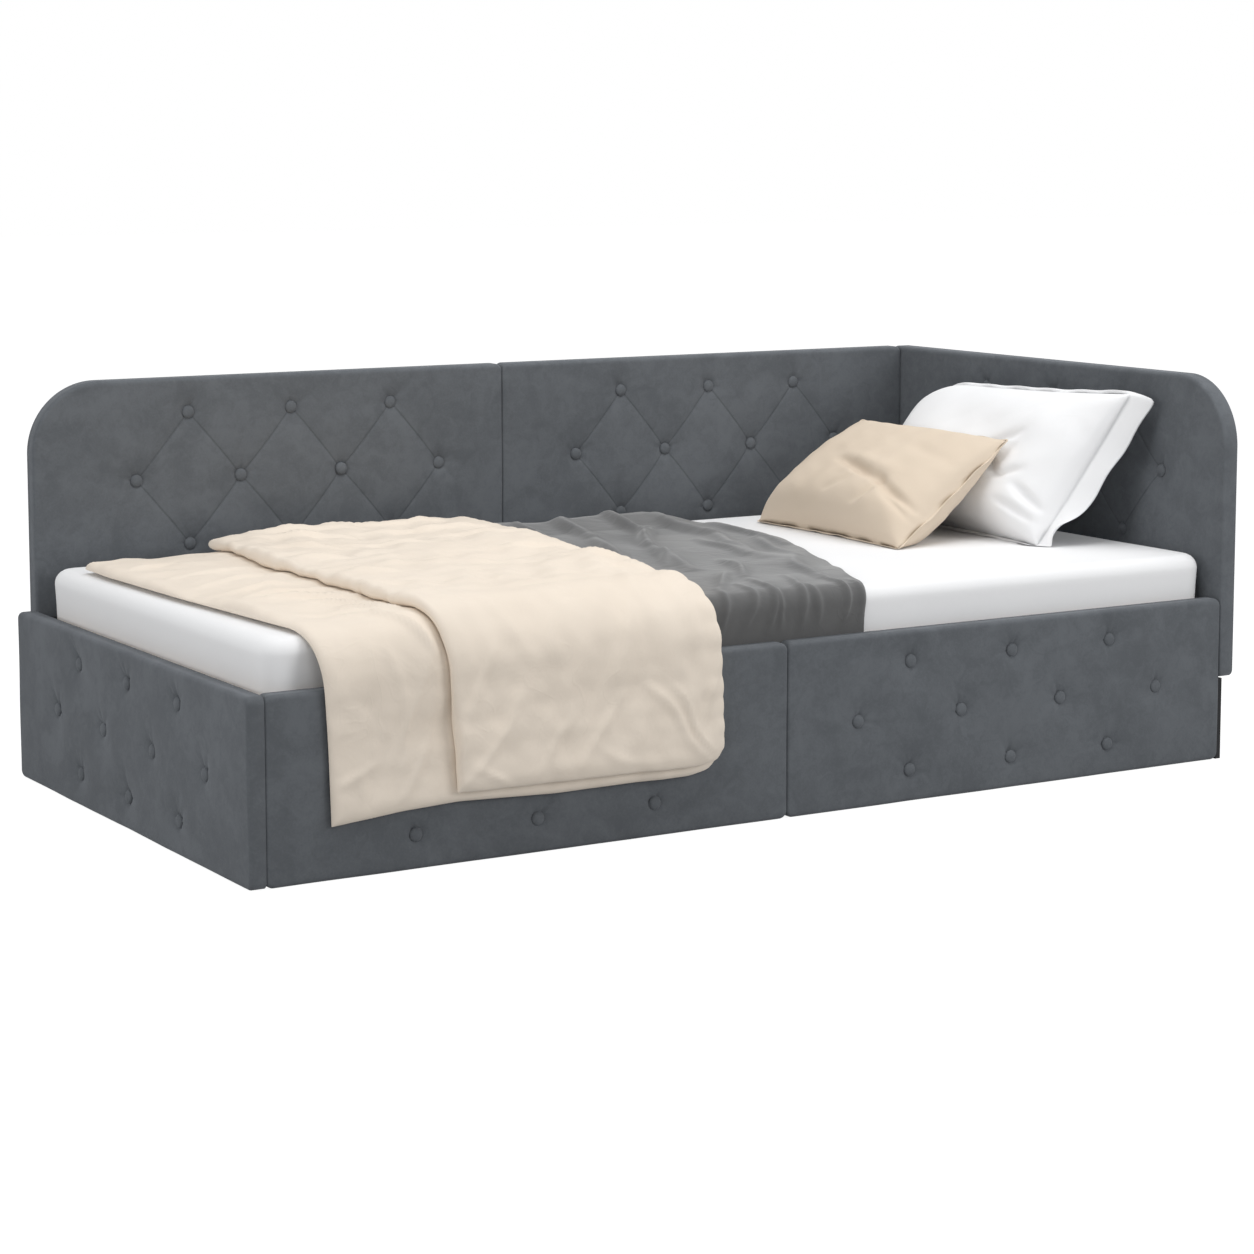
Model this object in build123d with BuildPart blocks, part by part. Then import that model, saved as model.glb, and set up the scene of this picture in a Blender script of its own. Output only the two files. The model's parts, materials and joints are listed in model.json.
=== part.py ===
"""Upholstered daybed with a low tufted box, a tall back, a tall head end and its bedding.

The origin is at the middle of the object on the floor. +X points to the head end, +Y to the back
and +Z up. All sizes are in millimetres.
"""
import math
import os

from build123d import *

# Mattress and the room left round it
mattress_length = 1984.0
mattress_width = 980.0
mattress_thickness = 200.0
mattress_plan_radius = 45.0
mattress_edge_radius = 25.0
mattress_edge_angles = (0.0, 45.0, 90.0)
mattress_waist = 4.0
mattress_crown = 3.0
mattress_crown_inset = 60.0
foot_gap = 20.0
head_gap = 6.0
front_gap = 6.0
back_gap = 15.0
mattress_sink = 115.0

# Upholstered panels
board_thickness = 15.0
wrap_thickness = 4.0
rail_pad = 15.0
tall_pad = 18.0
lining_thickness = 1.0
lining_inset = 8.0
rail_height = 315.0
overall_height = 740.0
tall_panel_bottom = 160.0
tall_corner_radius = 135.0
panel_corner_cut = 8.2
pad_edge_radius = 11.0
backrest_foot_inset = 8.0

# Plain lower boards at the back and the head end
back_rail_drop = 15.0
head_rail_thickness = 12.0
head_rail_inset = 6.0
head_rail_top_gap = 2.0

# Buttons, the hollows they are pulled into and the sewn diamond lines
button_sides = 8
button_radius = 12.5
button_rim = 2.0
button_crown_radius = 7.5
button_height = 6.0
tuft_depth = 9.0
tuft_radius = 34.0
tuft_seat_margin = 1.0
seam_width = 18.0
seam_depth = 4.0
rail_column_pitch = 231.0
rail_row_pitch = 100.0
footboard_column_pitch = 224.0
backrest_column_pitch = 216.5
headboard_column_pitch = 224.0
tall_row_pitch = 127.5
tall_top_row_drop = 67.0
backrest_foot_pattern_shift = 31.0

# Slats, ledges and the centre beam
slat_count = 12
slat_width = 70.0
slat_thickness = 12.0
slat_corner_cut = 6.0
slat_end_gap = 6.0
slat_first_gap = 25.0
ledge_height = 30.0
ledge_depth = 20.0
beam_height = 40.0
beam_width = 40.0
webbing_width = 25.0
webbing_thickness = 0.8
webbing_spacing = 460.0

# Centre legs and the hangers at the beam's ends
leg_width = 40.0
leg_head_length = 120.0
leg_head_height = 20.0
leg_foot_chamfer = 5.0
leg_spacing = 500.0
hanger_width = 60.0
hanger_drop = 63.0
hanger_seat = 40.0

# Steel fittings
steel_thickness = 3.0
bracket_leg = 60.0
bracket_bottom = 60.0
bracket_top_drop = 10.0
bracket_row_inset = 40.0
bracket_bolt_offset = 38.0
plate_length = 120.0
plate_bottom = 50.0
plate_height = 80.0
plate_bolt_spacing_x = 70.0
plate_bolt_spacing_z = 40.0
bolt_sides = 6
bolt_radius = 4.0
bolt_clearance = 0.2
bolt_head_radius = 8.0
bolt_head_height = 2.0
bolt_end_cover = 4.0
backrest_bolt_head_height = 5.0
backrest_bolt_sink = 6.0
backrest_bolt_spread = 700.0
backrest_bolt_row_pitch = 45.0
backrest_bolt_rise = 25.0
lining_hole_margin = 4.0

# Room left beside soft pieces, and straight steps in each of their bends
soft_gap = 0.5
bend_steps = 2

# Duvet, folded double towards the head
duvet_foot_edge = 100.0
duvet_fold_edge = 300.0
duvet_head_edge = 866.0
duvet_edge_thickness = 8.0
duvet_lower_layer = 20.0
duvet_upper_layer = 24.0
duvet_swell = 8.0
duvet_rounding = 25.0
duvet_foot_turn = 5.0
duvet_fold_turn = -2.5
duvet_lower_hem = 90.0
duvet_upper_hem = 122.0
duvet_hem_fall = 18.0
duvet_back_gap = 60.0
duvet_front_gap = 1.5
duvet_inner_bend = 13.5
duvet_edge_bulge = 0.33
duvet_edge_cut = 0.28

# Throw, tucked in between the mattress and the front rail
throw_start = 725.0
throw_front_end = 1190.0
throw_head_turn = -14.0
throw_thickness = 4.0
throw_fold_height = 8.0
throw_fold_count = 3
throw_tuck_thickness = 3.0
throw_tuck_gap = 1.2
throw_tuck_depth = 100.0
throw_bend = 26.0
throw_back_gap = 12.0

# Fullness of both pillows towards their short ends
pillow_end_fullness = 1.25

# White pillow, leaning on the headboard
pillow_length = 750.0
pillow_height = 358.0
pillow_lean = 55.0
pillow_front_crown = 95.0
pillow_back_crown = 36.0
pillow_flange = 26.0
pillow_flange_half = 2.0
pillow_front_offset = 130.0
pillow_draw_in = 10.0

# Beige cushion, leaning on the pillow
cushion_length = 540.0
cushion_height = 340.0
cushion_lean = 34.0
cushion_front_crown = 62.0
cushion_back_crown = 46.0
cushion_edge_half = 3.0
cushion_seam = 8.0
cushion_front_offset = 350.0
cushion_draw_in = 12.0

# Sizes that follow from the ones above
rail_thickness = board_thickness + rail_pad
tall_thickness = tall_pad + board_thickness + lining_thickness
rail_length = foot_gap + mattress_length + head_gap
half_rail = rail_length / 2
bed_width = rail_thickness + front_gap + mattress_width + back_gap + board_thickness
backrest_length = (rail_length - backrest_foot_inset) / 2
duvet_double = duvet_lower_layer + duvet_upper_layer
overall_length = rail_thickness + rail_length + tall_thickness
overall_width = duvet_front_gap + duvet_double + bed_width + tall_thickness

x_foot = rail_thickness - overall_length / 2
x_middle = x_foot + half_rail
x_head = x_foot + rail_length
y_front = duvet_front_gap + duvet_double - overall_width / 2
y_rail_inside = y_front + rail_thickness
y_back = y_front + bed_width
y_back_inside = y_back - board_thickness
y_rear = y_back + tall_thickness
y_centre = (y_rail_inside + y_back_inside) / 2
headboard_length = y_rear - y_front

slat_top = rail_height - mattress_sink
slat_bottom = slat_top - slat_thickness
beam_bottom = slat_bottom - beam_height
leg_height = beam_bottom
back_rail_height = rail_height - back_rail_drop
bracket_top = back_rail_height - bracket_top_drop
bracket_bolt_rows = (bracket_bottom + bracket_row_inset, bracket_top - bracket_row_inset)
mattress_top = slat_top + mattress_thickness
soft_base = mattress_top + soft_gap
bolt_grip = board_thickness - bolt_end_cover

os.makedirs("parts", exist_ok=True)


def save(piece: BuildPart, name: str):
    """Label a finished piece and write it under its own name."""
    piece.part.label = name
    export_step(piece.part, f"parts/{name}.step")


def facing_front(x: float, y: float) -> Plane:
    """Plane whose face looks to the front: local x runs to the head, local y runs up."""
    return Plane(origin=(x, y, 0), x_dir=(1, 0, 0), z_dir=(0, -1, 0))


def facing_foot(x: float, y: float) -> Plane:
    """Plane whose face looks to the foot end: local x runs to the front, local y runs up."""
    return Plane(origin=(x, y, 0), x_dir=(0, -1, 0), z_dir=(-1, 0, 0))


def panel_outline(length, bottom, top, rounded, inset=0.0) -> Sketch:
    """Panel outline with cut corners, apart from the ones named as rounded, which have the large radius."""
    side = length / 2 - inset
    cut = panel_corner_cut - (2 - math.sqrt(2)) * inset
    corners = {
        "bottom left": (-side, bottom + inset),
        "bottom right": (side, bottom + inset),
        "top right": (side, top - inset),
        "top left": (-side, top - inset),
    }
    with BuildSketch() as outline:
        with BuildLine():
            Polyline(*corners.values(), close=True)
        make_face()
        for name, (u, v) in corners.items():
            corner = outline.vertices().sort_by_distance((u, v, 0))[0]
            if name in rounded:
                fillet(corner, tall_corner_radius - inset)
            else:
                chamfer(corner, cut)
    return outline.sketch


def tuft_points(pitch, row_pitch, across, height):
    """Places of the buttons: three, four and three in staggered rows."""
    outer = [across + pitch * step for step in (-1, 0, 1)]
    middle = [across + pitch * step for step in (-1.5, -0.5, 0.5, 1.5)]
    top = [(u, height + row_pitch) for u in outer]
    bottom = [(u, height - row_pitch) for u in outer]
    return top + [(u, height) for u in middle] + bottom


def diamond_seams(tufts, pitch):
    """Pairs of neighbouring buttons in different rows, which a sewn line joins."""
    pairs = []
    for index, (u, v) in enumerate(tufts):
        for other_u, other_v in tufts[index + 1:]:
            if other_v != v and abs(abs(other_u - u) - pitch / 2) < pitch / 10:
                pairs.append(((u, v), (other_u, other_v)))
    return pairs


def bore(spot, radius, sides, depth):
    """Cut a hole of a few flat sides into the piece that is being built, along the spot's z axis."""
    with BuildSketch(spot) as hole:
        RegularPolygon(radius, sides)
    extrude(hole.sketch, depth, mode=Mode.SUBTRACT)


def drill(spots):
    """Bore the bolts' holes into the piece that is being built."""
    for spot, length in spots:
        bore(spot, bolt_radius + bolt_clearance, bolt_sides, -length - bolt_clearance)


def bolt_set(spots, head_height) -> BuildPart:
    """Bolts with flat hexagon heads, each standing on its spot with the shank pointing in."""
    with BuildPart() as bolts:
        for spot, length in spots:
            with BuildSketch(spot):
                RegularPolygon(bolt_head_radius, bolt_sides)
            extrude(amount=head_height)
            with BuildSketch(spot):
                RegularPolygon(bolt_radius, bolt_sides)
            extrude(amount=-length)
    return bolts


def frustum(base_radius, top_radius, height) -> Solid:
    """Upright block with flat sides that widens or narrows evenly from its base to its top."""
    turns = [2 * math.pi * step / button_sides for step in range(button_sides)]
    base = [(base_radius * math.cos(turn), base_radius * math.sin(turn), 0) for turn in turns]
    top = [(top_radius * math.cos(turn), top_radius * math.sin(turn), height) for turn in turns]
    walls = [(base[i - 1], base[i], top[i], top[i - 1]) for i in range(button_sides)]
    return Solid(Shell([Face(Wire.make_polygon(points)) for points in (base, top, *walls)]))


def padded_cover(plane, length, bottom, top, pad, rounded, tufts, seams, bolts=()) -> BuildPart:
    """Velvet over foam that caps a board, with hollows at the buttons and sewn lines between."""
    outward = Axis((0, 0, 0), plane.z_dir)
    face = plane.offset(pad)
    hollow = frustum(button_radius + tuft_seat_margin, tuft_radius, tuft_depth)
    with BuildPart() as cover:
        with BuildSketch(plane.offset(-board_thickness)):
            add(panel_outline(length, bottom, top, rounded))
        extrude(amount=board_thickness + pad)
        fillet(cover.faces().sort_by(outward)[-1].edges(), pad_edge_radius)
        with BuildSketch(plane.offset(-board_thickness)):
            add(panel_outline(length, bottom, top, rounded, wrap_thickness))
        extrude(amount=board_thickness, mode=Mode.SUBTRACT)
        for start, end in seams:
            first = face.from_local_coords((*start, 0))
            run = face.from_local_coords((*end, 0)) - first
            across = plane.z_dir.cross(run)
            with BuildSketch(Plane(origin=first, x_dir=across, z_dir=run)):
                with BuildLine():
                    Polyline((-seam_width / 2, 0), (0, -seam_depth), (seam_width / 2, 0), close=True)
                make_face()
            extrude(amount=run.length, mode=Mode.SUBTRACT)
        with Locations(*[face * Location((u, v, -tuft_depth)) for u, v in tufts]):
            add(hollow, mode=Mode.SUBTRACT)
        drill(bolts)
    return cover


def button_set(plane, pad, tufts) -> BuildPart:
    """Covered buttons, seated at the bottom of their hollows."""
    seat = plane.offset(pad - tuft_depth)
    crown = frustum(button_radius, button_crown_radius, button_height - button_rim)
    with BuildPart() as buttons:
        with BuildSketch(*[seat * Location((u, v, 0)) for u, v in tufts]):
            RegularPolygon(button_radius, button_sides)
        extrude(amount=button_rim)
        with Locations(*[seat * Location((u, v, button_rim)) for u, v in tufts]):
            add(crown)
    return buttons


def panel_board(plane, length, bottom, top, rounded, bolts=(), sunk_heads=()) -> BuildPart:
    """Board inside a padded cover, drilled for its bolts."""
    with BuildPart() as board:
        with BuildSketch(plane.offset(-board_thickness)):
            add(panel_outline(length, bottom, top, rounded, wrap_thickness))
        extrude(amount=board_thickness)
        drill(bolts)
        for spot, _ in sunk_heads:
            bore(spot, bolt_head_radius + bolt_clearance, bolt_sides, backrest_bolt_sink)
    return board


def panel_lining(plane, length, bottom, top, rounded, sunk_heads=()) -> BuildPart:
    """Thin lining cloth on the rear of a tall panel, cut out round the bolt heads."""
    with BuildPart() as lining:
        with BuildSketch(plane.offset(-board_thickness - lining_thickness)):
            add(panel_outline(length, bottom, top, rounded, lining_inset))
        extrude(amount=lining_thickness)
        for spot, _ in sunk_heads:
            bore(
                spot,
                bolt_head_radius + lining_hole_margin,
                bolt_sides,
                backrest_bolt_sink + lining_thickness,
            )
    return lining


def plain_box(low, high, bolts=()) -> BuildPart:
    """Straight board or bar between two corners."""
    size = [b - a for a, b in zip(low, high)]
    middle = tuple((a + b) / 2 for a, b in zip(low, high))
    with BuildPart() as box:
        with Locations(middle):
            Box(*size)
        drill(bolts)
    return box


# Bolts of the corner brackets: each corner has its place and the way into the bed
corners = {
    "foot_front": (x_foot, y_rail_inside, 1, 1),
    "foot_back": (x_foot, y_back_inside, 1, -1),
    "head_front": (x_head, y_rail_inside, -1, 1),
    "head_back": (x_head, y_back_inside, -1, -1),
}
rail_bolts = {}
end_bolts = {}
for corner_name, (x, y, into_x, into_y) in corners.items():
    rail_bolts[corner_name] = []
    end_bolts[corner_name] = []
    for row in bracket_bolt_rows:
        on_rail = (x + into_x * bracket_bolt_offset, y + into_y * steel_thickness, row)
        on_end = (x + into_x * steel_thickness, y + into_y * bracket_bolt_offset, row)
        end_depth = bolt_grip
        if into_x < 0:
            in_rail = row < tall_panel_bottom
            end_depth = head_rail_thickness - bolt_end_cover if in_rail else tall_pad + bolt_grip
        rail_spot = Plane(origin=on_rail, z_dir=(0, into_y, 0))
        end_spot = Plane(origin=on_end, z_dir=(into_x, 0, 0))
        rail_bolts[corner_name].append((rail_spot, steel_thickness + bolt_grip))
        end_bolts[corner_name].append((end_spot, steel_thickness + end_depth))

# Bolts of the plates that join the rail halves, on the front and the back
plate_middle = plate_bottom + plate_height / 2
plate_bolts = {}
for side, face_y, into_y in (("front", y_rail_inside, 1), ("back", y_back_inside, -1)):
    for half, step_x in (("foot", -0.5), ("head", 0.5)):
        plate_bolts[side, half] = []
        for step_z in (-0.5, 0.5):
            place = (
                x_middle + step_x * plate_bolt_spacing_x,
                face_y + into_y * steel_thickness,
                plate_middle + step_z * plate_bolt_spacing_z,
            )
            spot = Plane(origin=place, z_dir=(0, into_y, 0))
            plate_bolts[side, half].append((spot, steel_thickness + bolt_grip))

# Bolts that hold each backrest to the back rail, put in from behind
backrest_middles = {
    "foot": x_head - 1.5 * backrest_length,
    "head": x_head - 0.5 * backrest_length,
}
backrest_bolts = {}
for half, middle in backrest_middles.items():
    backrest_bolts[half] = []
    for step_x in (-0.5, 0.5):
        for row in (0, 1):
            place = (
                middle + step_x * backrest_bolt_spread,
                y_back + tall_pad + board_thickness - backrest_bolt_sink,
                slat_top + backrest_bolt_rise + row * backrest_bolt_row_pitch,
            )
            length = board_thickness - backrest_bolt_sink + tall_pad + bolt_grip
            backrest_bolts[half].append((Plane(origin=place, z_dir=(0, 1, 0)), length))

# Footboard
foot_plane = facing_foot(x_foot - board_thickness, y_front + bed_width / 2)
foot_tufts = tuft_points(footboard_column_pitch, rail_row_pitch, 0, rail_height / 2)
foot_bolts = end_bolts["foot_front"] + end_bolts["foot_back"]
save(panel_board(foot_plane, bed_width, 0, rail_height, (), foot_bolts), "footboard_board")
save(padded_cover(foot_plane, bed_width, 0, rail_height, rail_pad, (), foot_tufts, ()), "footboard_cover")
save(button_set(foot_plane, rail_pad, foot_tufts), "footboard_buttons")

# Front rail, in two halves
rail_tufts = tuft_points(rail_column_pitch, rail_row_pitch, 0, rail_height / 2)
for half, step in (("foot", 0.5), ("head", 1.5)):
    rail_plane = facing_front(x_foot + step * half_rail, y_front + rail_pad)
    bolts = rail_bolts[f"{half}_front"] + plate_bolts["front", half]
    board = panel_board(rail_plane, half_rail, 0, rail_height, (), bolts)
    cover = padded_cover(rail_plane, half_rail, 0, rail_height, rail_pad, (), rail_tufts, ())
    save(board, f"front_rail_{half}_board")
    save(cover, f"front_rail_{half}_cover")
    save(button_set(rail_plane, rail_pad, rail_tufts), f"front_rail_{half}_buttons")

# Backrest, in two halves, with the large round corner at the foot end
tall_middle_row = overall_height - tall_top_row_drop - tall_row_pitch
backrest_rounded = {"foot": ("top left",), "head": ()}
backrest_shifts = {"foot": backrest_foot_pattern_shift, "head": 0}
for half, middle in backrest_middles.items():
    plane = facing_front(middle, y_back + tall_pad)
    span = (backrest_length, tall_panel_bottom, overall_height)
    rounded = backrest_rounded[half]
    tufts = tuft_points(backrest_column_pitch, tall_row_pitch, backrest_shifts[half], tall_middle_row)
    seams = diamond_seams(tufts, backrest_column_pitch)
    bolts = backrest_bolts[half]
    save(panel_board(plane, *span, rounded, bolts, bolts), f"backrest_{half}_board")
    save(padded_cover(plane, *span, tall_pad, rounded, tufts, seams, bolts), f"backrest_{half}_cover")
    save(button_set(plane, tall_pad, tufts), f"backrest_{half}_buttons")
    save(panel_lining(plane, *span, rounded, bolts), f"backrest_{half}_lining")

# Headboard, with the large round corner at the front
head_plane = facing_foot(x_head + tall_pad, (y_front + y_rear) / 2)
head_span = (headboard_length, tall_panel_bottom, overall_height)
head_rounded = ("top right",)
head_shift = (headboard_length - bed_width) / 2
head_tufts = tuft_points(headboard_column_pitch, tall_row_pitch, head_shift, tall_middle_row)
head_seams = diamond_seams(head_tufts, headboard_column_pitch)
head_bolts = [
    spot_and_length
    for corner_name in ("head_front", "head_back")
    for spot_and_length in end_bolts[corner_name]
    if spot_and_length[0].origin.Z > tall_panel_bottom
]
save(panel_board(head_plane, *head_span, head_rounded, head_bolts), "headboard_board")
save(
    padded_cover(head_plane, *head_span, tall_pad, head_rounded, head_tufts, head_seams, head_bolts),
    "headboard_cover",
)
save(button_set(head_plane, tall_pad, head_tufts), "headboard_buttons")
save(panel_lining(head_plane, *head_span, head_rounded), "headboard_lining")

# Plain lower boards at the back and the head end
for half, start in (("foot", x_foot), ("head", x_middle)):
    bolts = rail_bolts[f"{half}_back"] + plate_bolts["back", half] + backrest_bolts[half]
    low = (start, y_back_inside, 0)
    high = (start + half_rail, y_back, back_rail_height)
    save(plain_box(low, high, bolts), f"back_rail_{half}")
head_rail_bolts = [
    spot_and_length
    for corner_name in ("head_front", "head_back")
    for spot_and_length in end_bolts[corner_name]
    if spot_and_length[0].origin.Z < tall_panel_bottom
]
head_rail_low = (x_head, y_front + head_rail_inset, 0)
head_rail_high = (
    x_head + head_rail_thickness,
    y_back - head_rail_inset,
    tall_panel_bottom - head_rail_top_gap,
)
save(plain_box(head_rail_low, head_rail_high, head_rail_bolts), "head_rail")

# Corner brackets
for corner_name, (x, y, into_x, into_y) in corners.items():
    with BuildPart() as bracket:
        with BuildSketch(Plane.XY.offset(bracket_bottom)):
            with BuildLine():
                Polyline(
                    (x, y),
                    (x + into_x * bracket_leg, y),
                    (x + into_x * bracket_leg, y + into_y * steel_thickness),
                    (x + into_x * steel_thickness, y + into_y * steel_thickness),
                    (x + into_x * steel_thickness, y + into_y * bracket_leg),
                    (x, y + into_y * bracket_leg),
                    close=True,
                )
            make_face()
        extrude(amount=bracket_top - bracket_bottom)
        drill(rail_bolts[corner_name] + end_bolts[corner_name])
    save(bracket, f"corner_bracket_{corner_name}")

# Plates that join the rail halves
with BuildPart() as plates:
    for face_y, into_y in ((y_rail_inside, 1), (y_back_inside, -1)):
        with Locations((x_middle, face_y + into_y * steel_thickness / 2, plate_middle)):
            Box(plate_length, steel_thickness, plate_height)
    for spots in plate_bolts.values():
        drill(spots)
save(plates, "joining_plates")

# Bolts
frame_spots = []
for group in (rail_bolts, end_bolts, plate_bolts):
    for spots in group.values():
        frame_spots.extend(spots)
save(bolt_set(frame_spots, bolt_head_height), "frame_bolts")
backrest_spots = backrest_bolts["foot"] + backrest_bolts["head"]
save(bolt_set(backrest_spots, backrest_bolt_head_height), "backrest_bolts")

# Ledges that carry the slats' ends
ledge_ends = {"foot": (x_foot + bracket_leg, x_middle), "head": (x_middle, x_head - bracket_leg)}
for half, (start, end) in ledge_ends.items():
    front_low = (start, y_rail_inside, slat_bottom - ledge_height)
    front_high = (end, y_rail_inside + ledge_depth, slat_bottom)
    back_low = (start, y_back_inside - ledge_depth, slat_bottom - ledge_height)
    back_high = (end, y_back_inside, slat_bottom)
    save(plain_box(front_low, front_high), f"front_ledge_{half}")
    save(plain_box(back_low, back_high), f"back_ledge_{half}")

# Centre beam in two halves, its hangers and its legs
beam_ends = {"foot": (x_foot + steel_thickness, x_middle), "head": (x_middle, x_head - steel_thickness)}
for half, (start, end) in beam_ends.items():
    low = (start, y_centre - beam_width / 2, beam_bottom)
    high = (end, y_centre + beam_width / 2, slat_bottom)
    save(plain_box(low, high), f"centre_beam_{half}")

with BuildPart() as hangers:
    for x, into_x in ((x_foot, 1), (x_head, -1)):
        with BuildSketch(Plane.XZ.offset(-y_centre - hanger_width / 2)):
            with BuildLine():
                Polyline(
                    (x, beam_bottom),
                    (x, beam_bottom - hanger_drop),
                    (x + into_x * steel_thickness, beam_bottom - hanger_drop),
                    (x + into_x * steel_thickness, beam_bottom - steel_thickness),
                    (x + into_x * hanger_seat, beam_bottom - steel_thickness),
                    (x + into_x * hanger_seat, beam_bottom),
                    close=True,
                )
            make_face()
        extrude(amount=hanger_width)
save(hangers, "beam_hangers")

for number, step in enumerate((-1, 0, 1), start=1):
    x = x_middle + step * leg_spacing
    with BuildPart() as leg:
        with Locations((x, y_centre, 0)):
            Box(
                leg_width,
                leg_width,
                leg_height - leg_head_height,
                align=(Align.CENTER, Align.CENTER, Align.MIN),
            )
        chamfer(leg.faces().sort_by(Axis.Z)[0].edges(), leg_foot_chamfer)
        with Locations((x, y_centre, leg_height)):
            Box(
                leg_head_length,
                beam_width,
                leg_head_height,
                align=(Align.CENTER, Align.CENTER, Align.MAX),
            )
    save(leg, f"centre_leg_{number}")

# Slats and the webbing that spaces them
slat_start = y_rail_inside + slat_end_gap
slat_end = y_back_inside - slat_end_gap
slat_run = rail_length - 2 * slat_first_gap - slat_width
slat_pitch = slat_run / (slat_count - 1)
for number in range(slat_count):
    x = x_foot + slat_first_gap + slat_width / 2 + number * slat_pitch
    with BuildPart() as slat:
        with Locations((x, (slat_start + slat_end) / 2, (slat_bottom + slat_top) / 2)):
            Box(slat_width, slat_end - slat_start, slat_thickness)
        chamfer(slat.edges().filter_by(Axis.Z), slat_corner_cut)
    save(slat, f"slat_{number + 1:02d}")

with BuildPart() as webbing:
    for step in (-0.5, 0.5):
        with Locations((x_middle, y_centre + step * webbing_spacing, slat_bottom)):
            Box(
                rail_length - 2 * slat_first_gap,
                webbing_width,
                webbing_thickness,
                align=(Align.CENTER, Align.CENTER, Align.MAX),
            )
save(webbing, "slat_webbing")

# Mattress: rounded edges, sides drawn in at the waist, a slight crown
mattress_x = x_foot + foot_gap + mattress_length / 2
mattress_y = y_rail_inside + front_gap + mattress_width / 2
edge_turns = [math.radians(angle) for angle in mattress_edge_angles]
edge_steps = [
    (mattress_edge_radius * (1 - math.cos(turn)), mattress_edge_radius * (1 - math.sin(turn)))
    for turn in edge_turns
]
mattress_shoulder = mattress_thickness - mattress_crown
mattress_sections = (
    edge_steps
    + [(mattress_thickness / 2, mattress_waist)]
    + [(mattress_shoulder - rise, inset) for rise, inset in edge_steps[::-1]]
    + [(mattress_thickness, mattress_crown_inset)]
)
with BuildPart() as mattress:
    for rise, inset in mattress_sections:
        with BuildSketch(Plane((mattress_x, mattress_y, slat_top + rise))):
            RectangleRounded(
                mattress_length - 2 * inset,
                mattress_width - 2 * inset,
                mattress_plan_radius,
            )
    loft(ruled=True)
save(mattress, "mattress")


def across_bed(x, turn) -> Plane:
    """Upright plane across the bed at the rail's front face: local x runs to the back, y runs up."""
    angle = math.radians(turn)
    back = (-math.sin(angle), math.cos(angle), 0)
    head = (math.cos(angle), math.sin(angle), 0)
    return Plane(origin=(x_foot + x, y_front, 0), x_dir=back, z_dir=head)


def bend_points(middle, radius, start, end):
    """Points of a bend about its middle, in even steps from one angle to another."""
    turns = [math.radians(start + (end - start) * step / bend_steps) for step in range(bend_steps + 1)]
    return [(middle[0] + radius * math.cos(turn), middle[1] + radius * math.sin(turn)) for turn in turns]


def closed_section(points) -> Sketch:
    """Closed section through the points."""
    with BuildSketch() as section:
        with BuildLine():
            Polyline(*points, close=True)
        make_face()
    return section.sketch


def duvet_section(thickness, hang, hem, lift) -> Sketch:
    """Duvet cut across the bed: flat on the mattress, then down over the front rail."""
    under = soft_base + lift
    over = under + thickness
    back = bed_width - board_thickness - duvet_back_gap
    back_end = back + duvet_edge_bulge * thickness
    inside = -duvet_front_gap
    outside = inside - hang
    hem_end = hem - duvet_edge_bulge * hang
    inner = duvet_inner_bend
    outer = duvet_inner_bend + min(thickness, hang)
    cut = duvet_edge_cut
    return closed_section(
        [
            (back, under),
            *bend_points((inside + inner, under - inner), inner, 90, 180),
            (inside, hem),
            (inside - cut * hang, hem_end),
            (outside + cut * hang, hem_end),
            (outside, hem),
            *bend_points((outside + outer, over - outer), outer, 180, 90),
            (back, over),
            (back_end, over - cut * thickness),
            (back_end, under + cut * thickness),
        ]
    )


# Duvet: place along the bed, turn of the edge, thickness, hang, hem height, lift over the throw
duvet_middle = (duvet_fold_edge + throw_start) / 2
throw_lift = throw_thickness + 2 * soft_gap
duvet_low_end = duvet_upper_hem - duvet_hem_fall
edge_hem = duvet_lower_hem + duvet_edge_thickness
duvet_stations = (
    (duvet_foot_edge, duvet_foot_turn, duvet_edge_thickness, duvet_edge_thickness, edge_hem, 0),
    (
        duvet_foot_edge + duvet_rounding,
        duvet_foot_turn,
        duvet_lower_layer,
        duvet_lower_layer,
        duvet_lower_hem,
        0,
    ),
    (
        duvet_fold_edge - duvet_rounding / 4,
        duvet_fold_turn,
        duvet_lower_layer,
        duvet_lower_layer,
        duvet_lower_hem + duvet_hem_fall,
        0,
    ),
    (
        duvet_fold_edge + duvet_rounding,
        duvet_fold_turn,
        duvet_double,
        duvet_double,
        duvet_upper_hem,
        0,
    ),
    (duvet_middle, 0, duvet_double + duvet_swell, duvet_double - duvet_swell, duvet_upper_hem, 0),
    (throw_start - duvet_rounding, 0, duvet_double, duvet_double, duvet_low_end, 0),
    (throw_start - soft_gap, 0, duvet_double, duvet_double, duvet_low_end, throw_lift),
    (
        duvet_head_edge - duvet_rounding,
        0,
        duvet_double,
        duvet_double - duvet_swell,
        duvet_low_end,
        throw_lift,
    ),
    (
        duvet_head_edge,
        0,
        duvet_lower_layer,
        duvet_lower_layer,
        duvet_low_end + duvet_hem_fall,
        throw_lift,
    ),
)
with BuildPart() as duvet:
    for x, turn, thickness, hang, hem, lift in duvet_stations:
        with BuildSketch(across_bed(x, turn)):
            add(duvet_section(thickness, hang, hem, lift))
    loft(ruled=True)
save(duvet, "duvet")


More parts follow.
